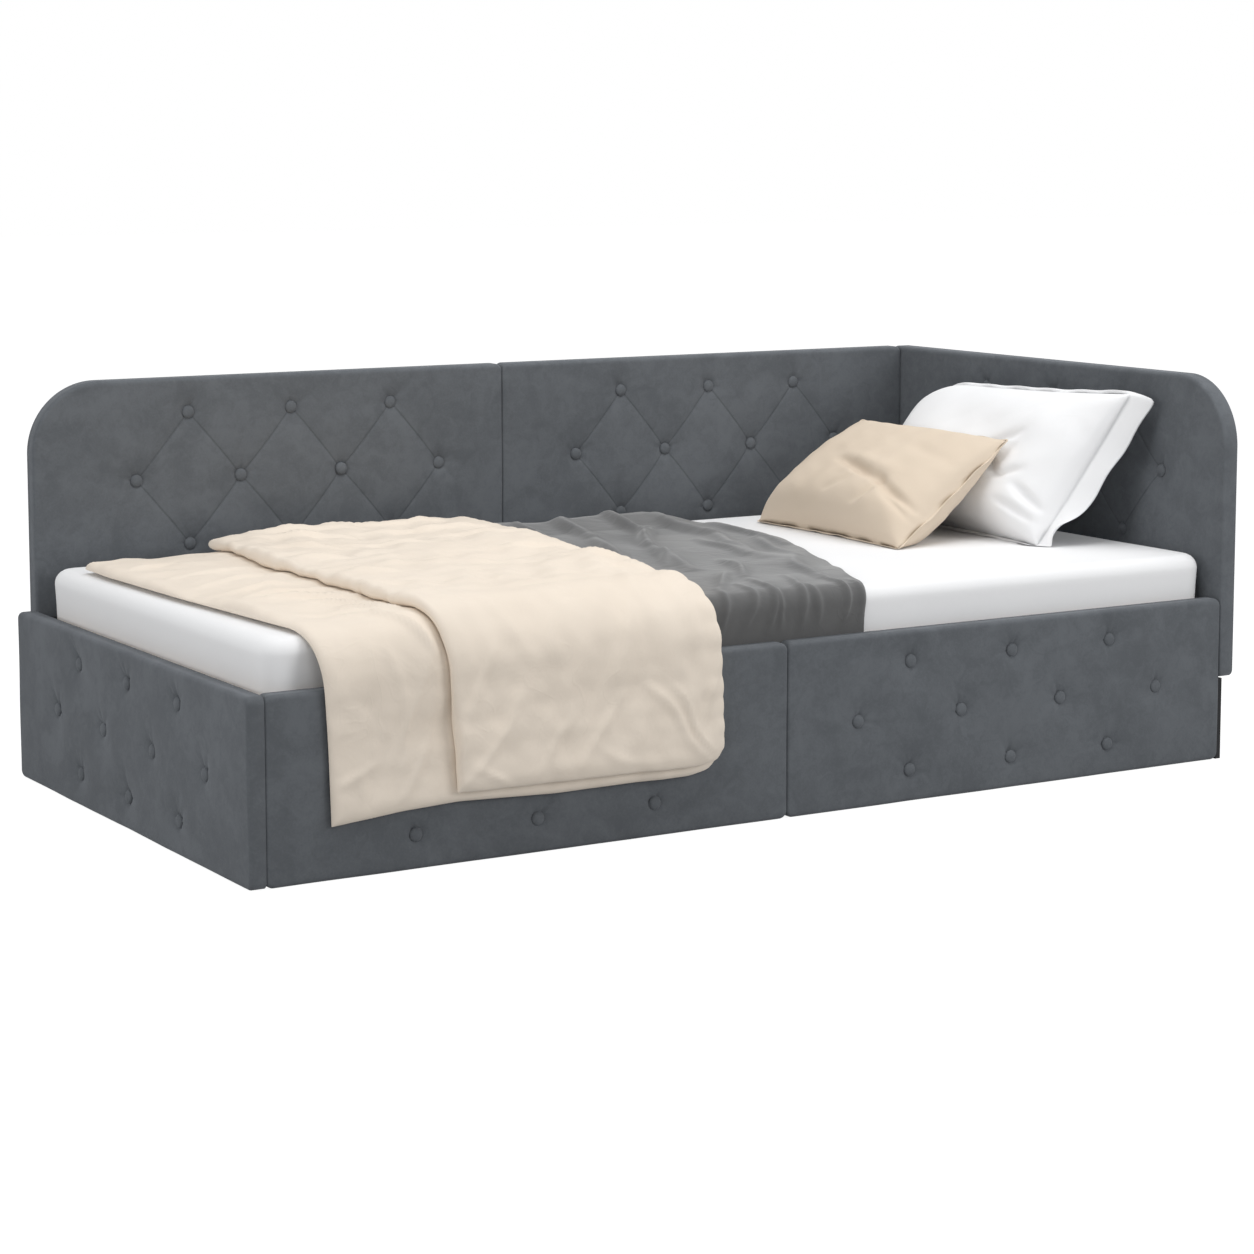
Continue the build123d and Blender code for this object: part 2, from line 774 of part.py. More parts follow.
def throw_section(thickness) -> Sketch:
    """Throw cut across the bed: flat on the mattress, then down behind the front rail."""
    under = soft_base
    over = soft_base + thickness
    back = bed_width - board_thickness - throw_back_gap
    inside = rail_thickness + front_gap - throw_tuck_gap
    outside = inside - throw_tuck_thickness
    low = mattress_top - throw_tuck_depth
    inner = throw_bend
    outer = throw_bend + throw_tuck_thickness
    return closed_section(
        [
            (back, under),
            *bend_points((inside + inner, under - inner), inner, 90, 180),
            (inside, low),
            (outside, low),
            *bend_points((outside + outer, over - outer), outer, 180, 90),
            (back, over),
        ]
    )


# Throw: flat under the duvet, then soft folds up to its slanting edge
throw_folds = 2 * throw_fold_count
throw_bare = throw_front_end - duvet_head_edge
with BuildPart() as throw:
    with BuildSketch(across_bed(throw_start, 0)):
        add(throw_section(throw_thickness))
    for step in range(throw_folds + 1):
        share = step / throw_folds
        fold = throw_fold_height if step % 2 else 0
        with BuildSketch(across_bed(duvet_head_edge + share * throw_bare, share * throw_head_turn)):
            add(throw_section(throw_thickness + fold))
    loft(ruled=True)
save(throw, "throw")


def lens(length, seam, front_crown, back_crown) -> Sketch:
    """Pillow cut across its middle: two shallow arcs that meet at the seams."""
    end = length / 2 - seam
    with BuildSketch() as section:
        with BuildLine():
            ThreePointArc((-end, 0), (0, front_crown), (end, 0))
            ThreePointArc((end, 0), (0, -back_crown), (-end, 0))
        make_face()
    return section.sketch


def drawn_in_outline(length, height, draw_in) -> Sketch:
    """Four corners joined by sides that are drawn in between them."""
    end = length / 2
    top = height / 2
    with BuildSketch() as outline:
        with BuildLine():
            ThreePointArc((-end, -top), (0, draw_in - top), (end, -top))
            ThreePointArc((end, -top), (end - draw_in, 0), (end, top))
            ThreePointArc((end, top), (0, top - draw_in), (-end, top))
            ThreePointArc((-end, top), (draw_in - end, 0), (-end, -top))
        make_face()
    return outline.sketch


def leaning_pillow(foot, lean, length, height, seam, half_edge, crowns, draw_in, middle_y) -> BuildPart:
    """Pillow that leans towards the head end, swollen on both faces, with a flat edge all round."""
    up = Vector(math.cos(math.radians(lean)), 0, math.sin(math.radians(lean)))
    front = Vector(-up.Z, 0, up.X)
    across = Vector(0, -1, 0)
    middle = Vector(foot[0], middle_y, foot[1]) + height / 2 * up
    with BuildPart() as pillow:
        with BuildSketch(Plane(middle, x_dir=up, z_dir=across)):
            add(lens(height, seam, *crowns))
        extrude(amount=length / 2, both=True)
        with BuildSketch(Plane(middle, x_dir=across, z_dir=front.cross(across) * -1)):
            add(lens(length, seam, *[pillow_end_fullness * crown for crown in crowns]))
        extrude(amount=height / 2, both=True, mode=Mode.INTERSECT)
        with BuildSketch(Plane(middle, x_dir=across, z_dir=front)):
            add(drawn_in_outline(length, height, draw_in))
        extrude(amount=half_edge, both=True)
    return pillow


# White pillow: its upper edge rests on the headboard
pillow_up = (math.cos(math.radians(pillow_lean)), math.sin(math.radians(pillow_lean)))
pillow_foot = (
    x_head - soft_gap - pillow_height * pillow_up[0] - pillow_flange_half * pillow_up[1],
    soft_base + pillow_flange_half * pillow_up[0],
)
pillow_middle = y_front + pillow_front_offset + pillow_length / 2
pillow = leaning_pillow(
    pillow_foot,
    pillow_lean,
    pillow_length,
    pillow_height,
    pillow_flange,
    pillow_flange_half,
    (pillow_front_crown, pillow_back_crown),
    pillow_draw_in,
    pillow_middle,
)
save(pillow, "pillow")

# Beige cushion: its upper edge rests on the pillow's front
cushion_up = (math.cos(math.radians(cushion_lean)), math.sin(math.radians(cushion_lean)))
pillow_front = pillow.part.bounding_box().min.X
cushion_foot = (
    pillow_front - soft_gap - cushion_height * cushion_up[0] - cushion_edge_half * cushion_up[1],
    soft_base + cushion_edge_half * cushion_up[0],
)
cushion_middle = y_front + cushion_front_offset + cushion_length / 2
cushion = leaning_pillow(
    cushion_foot,
    cushion_lean,
    cushion_length,
    cushion_height,
    cushion_seam,
    cushion_edge_half,
    (cushion_front_crown, cushion_back_crown),
    cushion_draw_in,
    cushion_middle,
)
save(cushion, "cushion")
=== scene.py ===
"""Looks of the upholstered daybed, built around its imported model.

The velvet panels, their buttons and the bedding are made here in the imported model's own frame, in metres.
Lengths in the classes are in millimetres. +X points to the head end, +Y to the back and +Z up.
"""
import json
import logging
import math
from dataclasses import dataclass, field
from enum import Enum
from typing import Any, Callable, Optional, Sequence

import bpy
import numpy as np
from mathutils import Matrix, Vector


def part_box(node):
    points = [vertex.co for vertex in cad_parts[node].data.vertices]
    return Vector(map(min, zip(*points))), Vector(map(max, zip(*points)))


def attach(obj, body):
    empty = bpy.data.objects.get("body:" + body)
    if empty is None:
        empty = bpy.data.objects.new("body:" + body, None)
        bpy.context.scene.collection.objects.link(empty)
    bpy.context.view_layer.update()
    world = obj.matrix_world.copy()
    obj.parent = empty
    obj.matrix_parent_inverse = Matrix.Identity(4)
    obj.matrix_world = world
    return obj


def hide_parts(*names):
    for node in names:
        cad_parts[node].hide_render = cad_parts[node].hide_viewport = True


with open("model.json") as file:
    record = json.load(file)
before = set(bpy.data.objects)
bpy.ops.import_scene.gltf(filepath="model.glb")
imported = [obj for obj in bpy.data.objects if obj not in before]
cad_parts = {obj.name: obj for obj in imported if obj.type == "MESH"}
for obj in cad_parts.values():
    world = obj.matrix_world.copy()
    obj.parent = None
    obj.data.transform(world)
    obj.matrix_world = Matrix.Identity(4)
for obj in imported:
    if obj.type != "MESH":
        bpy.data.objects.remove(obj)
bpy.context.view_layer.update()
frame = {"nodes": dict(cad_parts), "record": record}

LOG = logging.getLogger("daybed")
MM = 0.001
SEED = 7
WHITE = (1.0, 1.0, 1.0)
NO_DIAMOND = 50.0
Array = np.ndarray
Colour = tuple[float, float, float]
Place = tuple[float, float, float]
Faces = list[tuple[int, ...]]
Stroke = tuple[float, float, float, float, float, float]

# Folds of the cloth: start and end of each, then its half width and its height. On the bed they are given by
# places along it and distances along the drape, on the pillows by shares of half their length and height.
LOWER_FOLDS: Sequence[Stroke] = (
    (110, -215, 290, -240, 7, 10.0), (150, -185, 297, -150, 6, 11.0), (190, -130, 292, -45, 6, 11.0),
    (215, -70, 292, 15, 6, 10.0), (140, -40, 250, -5, 8, 8.0), (130, -300, 275, -345, 8, 9.0),
    (110, -390, 240, -460, 9, 8.0), (100, -520, 280, -560, 9, 7.0), (90, -640, 200, -690, 8, 7.0),
    (235, 40, 300, 120, 7, 9.0), (170, 20, 285, 60, 7, 7.0), (130, 150, 165, 330, 11, 3.2),
    (215, 120, 250, 300, 11, 3.2), (290, 130, 200, 330, 9, 3.2), (300, 250, 230, 350, 8, 4.0),
    (120, 330, 190, 290, 7, 3.5),
)
UPPER_FOLDS: Sequence[Stroke] = (
    (400, -820, 620, -790, 10, 11.0), (370, -770, 560, -690, 9, 11.0), (520, -840, 790, -780, 9, 10.0),
    (600, -740, 830, -680, 9, 9.0), (340, -640, 470, -560, 9, 9.0), (345, -500, 430, -440, 8, 8.5),
    (420, -610, 640, -540, 10, 7.0), (660, -600, 845, -520, 9, 8.0), (420, -330, 700, -240, 18, 6.0),
    (700, -420, 850, -350, 9, 8.0), (740, -230, 840, -150, 8, 8.0), (740, -120, 822, -40, 8, 7.0),
    (330, -300, 420, -220, 8, 7.0), (315, -160, 400, -60, 8, 7.0), (805, 335, 684, 205, 8, 5.5),
    (825, 325, 735, 215, 6, 5.0), (793, 280, 822, 190, 7, 4.5), (632, 215, 560, 330, 9, 3.6),
    (545, 240, 470, 345, 8, 3.6), (442, 200, 342, 340, 9, 4.2), (400, 130, 338, 250, 8, 4.0),
    (720, 40, 600, 190, 13, 3.6), (380, 20, 470, 150, 12, 3.4), (760, -60, 700, 120, 11, 3.6),
    (690, 345, 600, 300, 7, 3.2), (420, 350, 360, 310, 7, 4.0),
)
THROW_FOLDS: Sequence[Stroke] = (
    (1223, -928, 1190, -740, 15, 19.0), (1192, -750, 1100, -550, 13, 17.0),
    (1105, -560, 1004, -250, 15, 12.0), (1330, -905, 1305, -650, 17, 15.0),
    (1306, -660, 1200, -300, 19, 10.0), (1110, -925, 1060, -700, 16, 17.0),
    (1065, -705, 960, -430, 15, 12.0), (1000, -910, 955, -690, 14, 14.0),
    (1260, -820, 1150, -640, 12, 10.0), (1232, -600, 1200, -360, 12, 9.0),
    (1385, -800, 1360, -470, 12, 9.0), (1350, -560, 1260, -300, 12, 8.0), (1130, -330, 1040, -120, 13, 9.0),
    (1240, -280, 1150, -60, 14, 9.0), (1080, -480, 1000, -330, 11, 7.0), (1030, -180, 930, -20, 12, 7.0),
)
THROW_PLEATS: Sequence[Stroke] = (
    (1110, -110, 1045, 105, 8, 6.5), (1170, -70, 1137, 105, 7, 6.0), (1030, -90, 979, 105, 8, 6.0),
    (975, -60, 932, 105, 8, 5.5), (1095, -40, 1088, 105, 7, 4.5), (1015, -20, 1008, 105, 6, 4.0),
    (915, -30, 887, 105, 7, 4.5), (1192, -10, 1176, 105, 6, 4.0),
)
PILLOW_DENTS: Sequence[Stroke] = (
    (0.26, 0.1, 0.46, 0.3, 0.045, 13.0), (0.35, 0.02, 0.56, -0.2, 0.04, 13.0),
    (0.49, -0.2, 0.72, -0.1, 0.038, 10.0), (0.74, -0.3, 0.95, -0.62, 0.042, 15.0),
    (0.63, -0.55, 0.93, -0.78, 0.045, 13.0), (0.81, 0.5, 0.95, 0.1, 0.05, 6.0),
)
CUSHION_DENTS: Sequence[Stroke] = (
    (-0.2, 0.03, 0.5, -0.12, 0.05, 14.0), (0.42, -0.08, 0.98, -0.46, 0.05, 14.0),
    (-0.15, 0.14, 0.55, 0.02, 0.07, -7.0), (0.5, -0.12, 0.38, -0.55, 0.045, 9.0),
    (0.62, -0.3, 0.95, -0.62, 0.04, 9.0), (0.15, -0.1, 0.0, -0.5, 0.045, 6.0),
    (0.3, 0.45, 0.8, 0.3, 0.08, 4.0),
)


class Facing(Enum):
    """Which way a panel's padded face looks: its local u axis, then its outward axis."""

    FRONT = ((1.0, 0.0, 0.0), (0.0, -1.0, 0.0))
    FOOT = ((0.0, -1.0, 0.0), (-1.0, 0.0, 0.0))


class Body(Enum):
    """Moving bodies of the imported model."""

    FRAME = "frame"
    MATTRESS = "mattress"
    PILLOW = "pillow"
    CUSHION = "cushion"


class Nodes:
    """Node tree under construction."""

    def __init__(self, tree: bpy.types.NodeTree) -> None:
        """Keep the tree and empty it."""
        self.tree = tree
        tree.nodes.clear()

    def node(
        self, kind: str, settings: Optional[dict[str, Any]] = None, inputs: Optional[dict[Any, Any]] = None
    ) -> bpy.types.Node:
        """Add a node of any kind.

        Args:
            kind: Blender's node type.
            settings: properties set first; "stops" fills a colour ramp.
            inputs: values or links by socket name or number.

        Returns:
            The new node.
        """
        made = self.tree.nodes.new(kind)
        for key, value in (settings or {}).items():
            if key == "stops":
                self._fill_ramp(made.color_ramp, value)
            else:
                setattr(made, key, value)
        for key, value in (inputs or {}).items():
            if isinstance(value, Value):
                value = value.socket
            if isinstance(value, bpy.types.NodeSocket):
                self.tree.links.new(value, made.inputs[key])
            else:
                made.inputs[key].default_value = value
        return made

    @staticmethod
    def _fill_ramp(ramp: bpy.types.ColorRamp, stops: Sequence[tuple[float, Colour]]) -> None:
        """Set a ramp's stops.

        Args:
            ramp: the node's ramp.
            stops: place and colour of each stop, from the first to the last.
        """
        while len(ramp.elements) < len(stops):
            ramp.elements.new(1.0)
        for element, (position, colour) in zip(ramp.elements, stops):
            element.position = position
            element.color = opaque(colour)

    def number(self, kind: str, settings: dict[str, Any], inputs: dict[Any, Any]) -> "Value":
        """Add a node and take its first output as a number."""
        return Value(self, self.node(kind, settings, inputs).outputs[0])


class Value:
    """Number on its way through a tree's nodes, with arithmetic."""

    def __init__(self, nodes: Nodes, socket: bpy.types.NodeSocket) -> None:
        """Keep the tree and the output socket that carries the number."""
        self.nodes = nodes
        self.socket = socket

    def maths(self, operation: str, *others: Any) -> "Value":
        """Result of one Math node on this number and others."""
        return self.nodes.number("ShaderNodeMath", {"operation": operation}, dict(enumerate((self, *others))))

    def __add__(self, other: Any) -> "Value":
        """Sum."""
        return self.maths("ADD", other)

    __radd__ = __add__

    def __sub__(self, other: Any) -> "Value":
        """Difference."""
        return self.maths("SUBTRACT", other)

    def __rsub__(self, other: Any) -> "Value":
        """Difference from a number."""
        return (self * -1.0) + other

    def __mul__(self, other: Any) -> "Value":
        """Product."""
        return self.maths("MULTIPLY", other)

    __rmul__ = __mul__

    def __abs__(self) -> "Value":
        """Size without the sign."""
        return self.maths("ABSOLUTE")

    def part(self) -> "Value":
        """Part after the decimal point."""
        return self.maths("FRACT")

    def below(self, limit: float) -> "Value":
        """1 where the value is under the limit, else 0."""
        return self.maths("LESS_THAN", limit)

    def fade(self, low: float, high: float) -> "Value":
        """Smooth step from 0 at the low end to 1 at the high end."""
        inputs = {"Value": self, "From Min": low, "From Max": high}
        return self.nodes.number("ShaderNodeMapRange", {"interpolation_type": "SMOOTHSTEP"}, inputs)


def opaque(colour: Colour, share: float = 1.0) -> tuple[float, float, float, float]:
    """Colour with full cover, made darker or lighter by a share."""
    return (*[min(1.0, share * part) for part in colour], 1.0)


def direct_rays(nodes: Nodes) -> Value:
    """Find the rays that see the surroundings plainly.

    Args:
        nodes: the tree to work in.

    Returns:
        1 for rays from the camera, from gloss and through glass, else 0.
    """
    path = nodes.node("ShaderNodeLightPath").outputs
    seen = Value(nodes, path["Is Camera Ray"])
    for name in ("Is Glossy Ray", "Is Transmission Ray"):
        seen = seen.maths("MAXIMUM", path[name])
    return seen


class Shader(Nodes):
    """One material under construction."""

    def __init__(self, name: str) -> None:
        """Start an empty material.

        Args:
            name: the material's name.
        """
        self.material = bpy.data.materials.new(name)
        self.material.use_nodes = True
        super().__init__(self.material.node_tree)
        self.place = self.node("ShaderNodeTexCoord").outputs["Object"]

    def noise(
        self, scale: float, detail: float = 2.0, stretch: Optional[Colour] = None, bend: float = 0.0
    ) -> Value:
        """Soft noise over the piece.

        Args:
            scale: waves to the metre.
            detail: octaves.
            stretch: share of the scale along each axis.
            bend: distortion.

        Returns:
            The noise, around 0.5.
        """
        where = self.place
        if stretch is not None:
            where = self.node("ShaderNodeMapping", {}, {"Vector": where, "Scale": stretch}).outputs[0]
        inputs = {"Vector": where, "Scale": scale, "Detail": detail, "Distortion": bend}
        return self.number("ShaderNodeTexNoise", {}, inputs)

    def attribute(self, name: str) -> Value:
        """Number stored on the mesh under that name."""
        return Value(self, self.node("ShaderNodeAttribute", {"attribute_name": name}).outputs["Fac"])

    def ramp(self, value: Value, stops: Sequence[tuple[float, Colour]]) -> bpy.types.NodeSocket:
        """Colour that follows a value through a ramp's stops."""
        return self.node("ShaderNodeValToRGB", {"stops": stops}, {"Fac": value}).outputs[0]

    def blend(self, share: Value, first: Any, second: Any) -> bpy.types.NodeSocket:
        """Mix of two colours by a share from 0 to 1."""
        inputs = {"Factor": share, 6: first, 7: second}
        return self.node("ShaderNodeMix", {"data_type": "RGBA"}, inputs).outputs[2]

    def relief(self, layers: Sequence[tuple[Value, float, float]]) -> bpy.types.NodeSocket:
        """Bumps laid over each other.

        Args:
            layers: height, strength and depth in millimetres of each bump.

        Returns:
            The surface's normal.
        """
        normal = None
        for height, strength, depth in layers:
            inputs = {"Height": height, "Strength": strength, "Distance": depth * MM}
            if normal is not None:
                inputs["Normal"] = normal
            normal = self.node("ShaderNodeBump", {}, inputs).outputs[0]
        return normal

    def surface(self, **inputs: Any) -> bpy.types.Material:
        """Finish the material with a Principled surface.

        Args:
            inputs: its sockets, with underscores for spaces.

        Returns:
            The finished material.
        """
        named = {key.replace("_", " "): value for key, value in inputs.items()}
        made = self.node("ShaderNodeBsdfPrincipled", {}, named)
        self.node("ShaderNodeOutputMaterial", {}, {"Surface": made.outputs[0]})
        return self.material


@dataclass(frozen=True)
class Velvet:
    """Short-pile velvet with a mottled nap and sewn diamond creases, darkened along them by painted shade.

    The mesh carries diamond_u and diamond_v, its place in the tufting counted in button pitches. The diamonds
    end half_width and half_height from the middle button.
    """

    name: str
    dark: Colour
    light: Colour
    half_width: float = 1.5
    half_height: float = 1.0
    crease_width: float = 0.02
    # How far the colour is darkened along the creases, as painted shade.
    painted_crease_shade: float = 0.3
    pile_shade: float = 0.25
    painted_shade_and_pile_depth: float = 0.4
    sheen_tint: Colour = (0.78, 0.83, 0.9)

    def _crease(self, shader: Shader) -> Value:
        """Find the sewn lines.

        Args:
            shader: the material.

        Returns:
            1 along the lines of the diamonds, else 0.
        """
        across, rise = shader.attribute("diamond_u"), shader.attribute("diamond_v")
        inside = abs(across).below(self.half_width) * abs(rise).below(self.half_height)
        lines = [abs((across + rise * (0.5 * turn)).part() - 0.5) for turn in (1.0, -1.0)]
        near = lines[0].maths("MINIMUM", lines[1])
        return (1.0 - near.fade(0.0, self.crease_width)) * inside

    def material(self) -> bpy.types.Material:
        """Make the finish.

        Returns:
            The finished material.
        """
        shader = Shader(self.name)
        crease = self._crease(shader)
        cloud = shader.noise(scale=9.0, detail=5.0, bend=0.8)
        brushed = shader.noise(scale=38.0, detail=4.0, bend=1.2)
        pile = shader.noise(scale=1500.0, detail=2.0)
        tuft = shader.noise(scale=260.0, detail=3.0)
        tone = (cloud * 0.5 + brushed * 0.3 + tuft * 0.2).fade(0.36, 0.64)
        # Painted shade: the colour darkens along the sewn crease lines, where shade falls in the folds; the
        # fine pile only adds a random darker tone.
        painted_shade_and_pile_tone = (crease * self.painted_crease_shade + (0.5 - pile) * self.pile_shade).maths("MAXIMUM", 0.0)
        base = shader.blend(tone, opaque(self.dark), opaque(self.light))
        layers = ((pile, 0.4, 0.4), (tuft, 0.16, 1.0), (brushed, 0.08, 3.0), (crease * -1.0, 0.4, 1.6))
        return shader.surface(
            Base_Color=shader.blend(painted_shade_and_pile_tone, base, opaque(self.dark, self.painted_shade_and_pile_depth)),
            Roughness=0.74 + 0.16 * pile,
            Normal=shader.relief(layers),
            Specular_IOR_Level=0.22,
            Sheen_Weight=0.12,
            Sheen_Roughness=0.4,
            Sheen_Tint=opaque(self.sheen_tint),
        )


@dataclass(frozen=True)
class WovenCloth:
    """Plain woven cloth with a fine thread, faint and pressed creases and a soft sheen."""

    name: str
    colour: Colour
    shadow: Colour
    threads: float = 900.0
    creasing: float = 0.3
    crease_scale: float = 11.0
    sheen: float = 0.05
    roughness: float = 0.84

    def _pressed(self, shader: Shader) -> Value:
        """Find the lines of pressed creases.

        Args:
            shader: the material.

        Returns:
            1 along the creases, in some patches only, else 0.
        """
        ridge = abs(shader.noise(self.crease_scale * 0.8, detail=1.0, bend=1.4) - 0.5)
        patches = shader.noise(self.crease_scale * 0.5, detail=1.0).fade(0.5, 0.62)
        return (1.0 - ridge.fade(0.0, 0.035)) * patches

    def material(self) -> bpy.types.Material:
        """Make the finish.

        Returns:
            The finished material.
        """
        shader = Shader(self.name)
        ways = ((1.0, 0.25, 1.0), (0.25, 1.0, 0.25))
        warp, weft = (shader.noise(self.threads, detail=1.0, stretch=way) for way in ways)
        thread = warp + weft
        soft = shader.noise(self.crease_scale, detail=3.0, bend=0.9)
        fine = shader.noise(self.crease_scale * 3.5, detail=3.0, bend=0.7)
        cloudy = shader.noise(scale=4.0, detail=3.0).fade(0.3, 0.7)
        share = (cloudy * 0.4 + (thread - 1.0) * 0.25).maths("MAXIMUM", 0.0)
        layers = (
            (thread, 0.2, 0.3),
            (soft, self.creasing, 9.0),
            (fine, self.creasing * 0.5, 3.0),
            (self._pressed(shader), self.creasing * 0.6, 1.5),
        )
        return shader.surface(
            Base_Color=shader.blend(share, opaque(self.colour), opaque(self.shadow)),
            Roughness=self.roughness + 0.08 * (thread - 1.0),
            Normal=shader.relief(layers),
            Specular_IOR_Level=0.18,
            Sheen_Weight=self.sheen,
            Sheen_Roughness=0.5,
        )


@dataclass(frozen=True)
class Timber:
    """Planed wood with grain along one axis and a few darker streaks."""

    name: str
    pale: Colour
    dark: Colour
    grain: Colour
    roughness: float = 0.55

    def material(self) -> bpy.types.Material:
        """Make the finish.

        Returns:
            The finished material.
        """
        shader = Shader(self.name)
        streak = shader.noise(scale=26.0, detail=4.0, stretch=self.grain, bend=0.5)
        fibre = shader.noise(scale=420.0, detail=2.0, stretch=self.grain)
        stops = ((0.3, self.dark), (0.52, self.pale), (0.75, self.pale))
        return shader.surface(
            Base_Color=shader.ramp(streak * 0.8 + fibre * 0.2, stops),
            Roughness=self.roughness + 0.2 * (fibre - 0.5),
            Normal=shader.relief(((fibre, 0.25, 0.3), (streak, 0.15, 0.6))),
        )


@dataclass(frozen=True)
class CoatedSteel:
    """Steel sheet with a thin coat: powder paint, or zinc where it is metallic."""

    name: str
    colour: Colour
    metallic: float
    roughness: float
    wear: float = 1.6

    def material(self) -> bpy.types.Material:
        """Make the finish.

        Returns:
            The finished material.
        """
        shader = Shader(self.name)
        grit = shader.noise(scale=1100.0, detail=2.0)
        worn = shader.noise(scale=30.0, detail=4.0).fade(0.35, 0.8)
        return shader.surface(
            Base_Color=shader.blend(worn * 0.4, opaque(self.colour), opaque(self.colour, self.wear)),
            Roughness=self.roughness + 0.2 * (worn - 0.5),
            Normal=shader.relief(((grit, 0.2, 0.15),)),
            Metallic=self.metallic,
        )


@dataclass(frozen=True)
class Lining:
    """Pressed non-woven cloth with a dotted bond."""

    name: str
    colour: Colour
    worn: Colour = (0.05, 0.05, 0.052)

    def material(self) -> bpy.types.Material:
        """Make the finish.

        Returns:
            The finished material.
        """
        shader = Shader(self.name)
        bond = {"Vector": shader.place, "Scale": 420.0, "Randomness": 0.25}
        dots = shader.number("ShaderNodeTexVoronoi", {}, bond)
        fuzz = shader.noise(scale=800.0, detail=3.0)
        share = dots.fade(0.1, 0.5) * 0.5 + fuzz * 0.3
        return shader.surface(
            Base_Color=shader.blend(share, opaque(self.colour), opaque(self.worn)),
            Roughness=0.85 + 0.1 * fuzz,
            Normal=shader.relief(((dots, 0.4, 0.3), (fuzz, 0.3, 0.2))),
            Specular_IOR_Level=0.2,
        )


@dataclass(frozen=True)
class Outline:
    """Rectangle with its own radius at each corner: low left, low right, high right, high left."""

    left: float
    right: float
    low: float
    high: float
    radii: tuple[float, float, float, float]

    def shrunk(self, inset: float) -> "Outline":
        """Same outline, moved in by an inset."""
        radii = tuple(max(0.1, r - inset) for r in self.radii)
        return Outline(self.left + inset, self.right - inset, self.low + inset, self.high - inset, radii)

    def sides(self, v: Array) -> tuple[Array, Array]:
        """Find where level rows begin and end.

        Args:
            v: heights of the rows.

        Returns:
            Left and right ends of the rows.
        """
        starts, ends = np.full_like(v, self.left), np.full_like(v, self.right)
        low_left, low_right, high_right, high_left = self.radii
        for radius, near, target, sign in (
            (low_left, self.low + low_left - v, starts, 1.0),
            (high_left, v - self.high + high_left, starts, 1.0),
            (low_right, self.low + low_right - v, ends, -1.0),
            (high_right, v - self.high + high_right, ends, -1.0),
        ):
            reach = np.clip(near, 0.0, radius)
            target += sign * (radius - np.sqrt(radius**2 - reach**2))
        return starts, ends

    def depth(self, u: Array, v: Array) -> tuple[Array, Array]:
        """Distance inside the outline, and how far the nearest side faces up or down.

        Args:
            u: places across.
            v: places up.

        Returns:
            The distance, and a share that is 1 at a level side and 0 at an upright one.
        """
        middle_u, middle_v = (self.left + self.right) / 2, (self.low + self.high) / 2
        low_left, low_right, high_right, high_left = self.radii
        right, high = u > middle_u, v > middle_v
        upper, lower = np.where(right, high_right, high_left), np.where(right, low_right, low_left)
        radius = np.where(high, upper, lower)
        qu = np.abs(u - middle_u) - (self.right - self.left) / 2 + radius
        qv = np.abs(v - middle_v) - (self.high - self.low) / 2 + radius
        outside = np.hypot(np.maximum(qu, 0), np.maximum(qv, 0))
        distance = radius - outside - np.minimum(np.maximum(qu, qv), 0)
        turned = (np.maximum(qv, 0) / np.maximum(outside, 1e-6)) ** 2
        level = np.where((qu > 0) & (qv > 0), turned, (qv > qu).astype(float))
        return np.maximum(distance, 0.0), level


def spaced(length: float, cell: float, rim: Sequence[float]) -> Array:
    """Places along a side, close together at both ends.

    Args:
        length: the side's length.
        cell: usual spacing.
        rim: distances from each end, from 0 up.

    Returns:
        The places from 0 to the length.
    """
    ends = np.array(rim)
    count = max(2, int(round((length - 2 * ends[-1]) / cell)))
    middle = np.linspace(ends[-1], length - ends[-1], count + 1)
    return np.concatenate([ends[:-1], middle, (length - ends[:-1])[::-1]])


def ripple(
    p: Array, q: Array, length: float, seed: int, waves: int = 9, slant: float = 0.0, spread: float = 3.2
) -> Array:
    """Smooth random waves over two coordinates.

    Args:
        p: first coordinate.
        q: second coordinate.
        length: usual wave length.
        seed: fixed seed of the waves.
        waves: how many are added.
        slant: usual direction of travel, as an angle from the first coordinate.
        spread: how far directions stray from it.

    Returns:
        Heights with a usual size of 1.
    """
    chance = np.random.default_rng(SEED * 1000 + seed)
    total = np.zeros_like(p)
    for _ in range(waves):
        angle = slant + spread * (chance.random() - 0.5)
        size = 2 * math.pi / (length * (0.7 + 0.9 * chance.random()))
        phase = 2 * math.pi * chance.random()
        total += np.sin(size * (math.cos(angle) * p + math.sin(angle) * q) + phase)
    return total / math.sqrt(waves / 2)


def ramped(value: Array, start: float, run: float) -> Array:
    """Straight rise from 0 at a start to 1 after a run."""
    return np.clip((value - start) / run, 0, 1)


def rounded(distance: Array, radius: float) -> Array:
    """Rise of a rounded edge, from 0 at the edge to 1 inside."""
    share = ramped(distance, 0.0, radius)
    return np.sqrt(np.maximum(1 - (1 - share) ** 2, 0.0))


def grid_faces(rows: int, columns: int, first: int = 0, flip: bool = False) -> Faces:
    """Four-sided faces of a grid of points stored row by row.

    Args:
        rows: how many rows the grid has.
        columns: how many points a row has.
        first: number of the first point.
        flip: whether the faces look the other way.

    Returns:
        The faces.
    """
    start = first + np.arange(rows - 1)[:, None] * columns + np.arange(columns - 1)
    quads = np.stack([start, start + 1, start + columns + 1, start + columns], axis=-1).reshape(-1, 4)
    return [tuple(quad) for quad in (quads[:, ::-1] if flip else quads).tolist()]


def ring_faces(first: Array, second: Array) -> Faces:
    """Four-sided faces between two closed rings of points.

    Args:
        first: point numbers of one ring.
        second: those of the other, in the same order.

    Returns:
        The faces, which run along the first ring in its own sense.
    """
    quads = np.stack([first, np.roll(first, -1), np.roll(second, -1), second], axis=-1)
    return [tuple(quad) for quad in quads.tolist()]


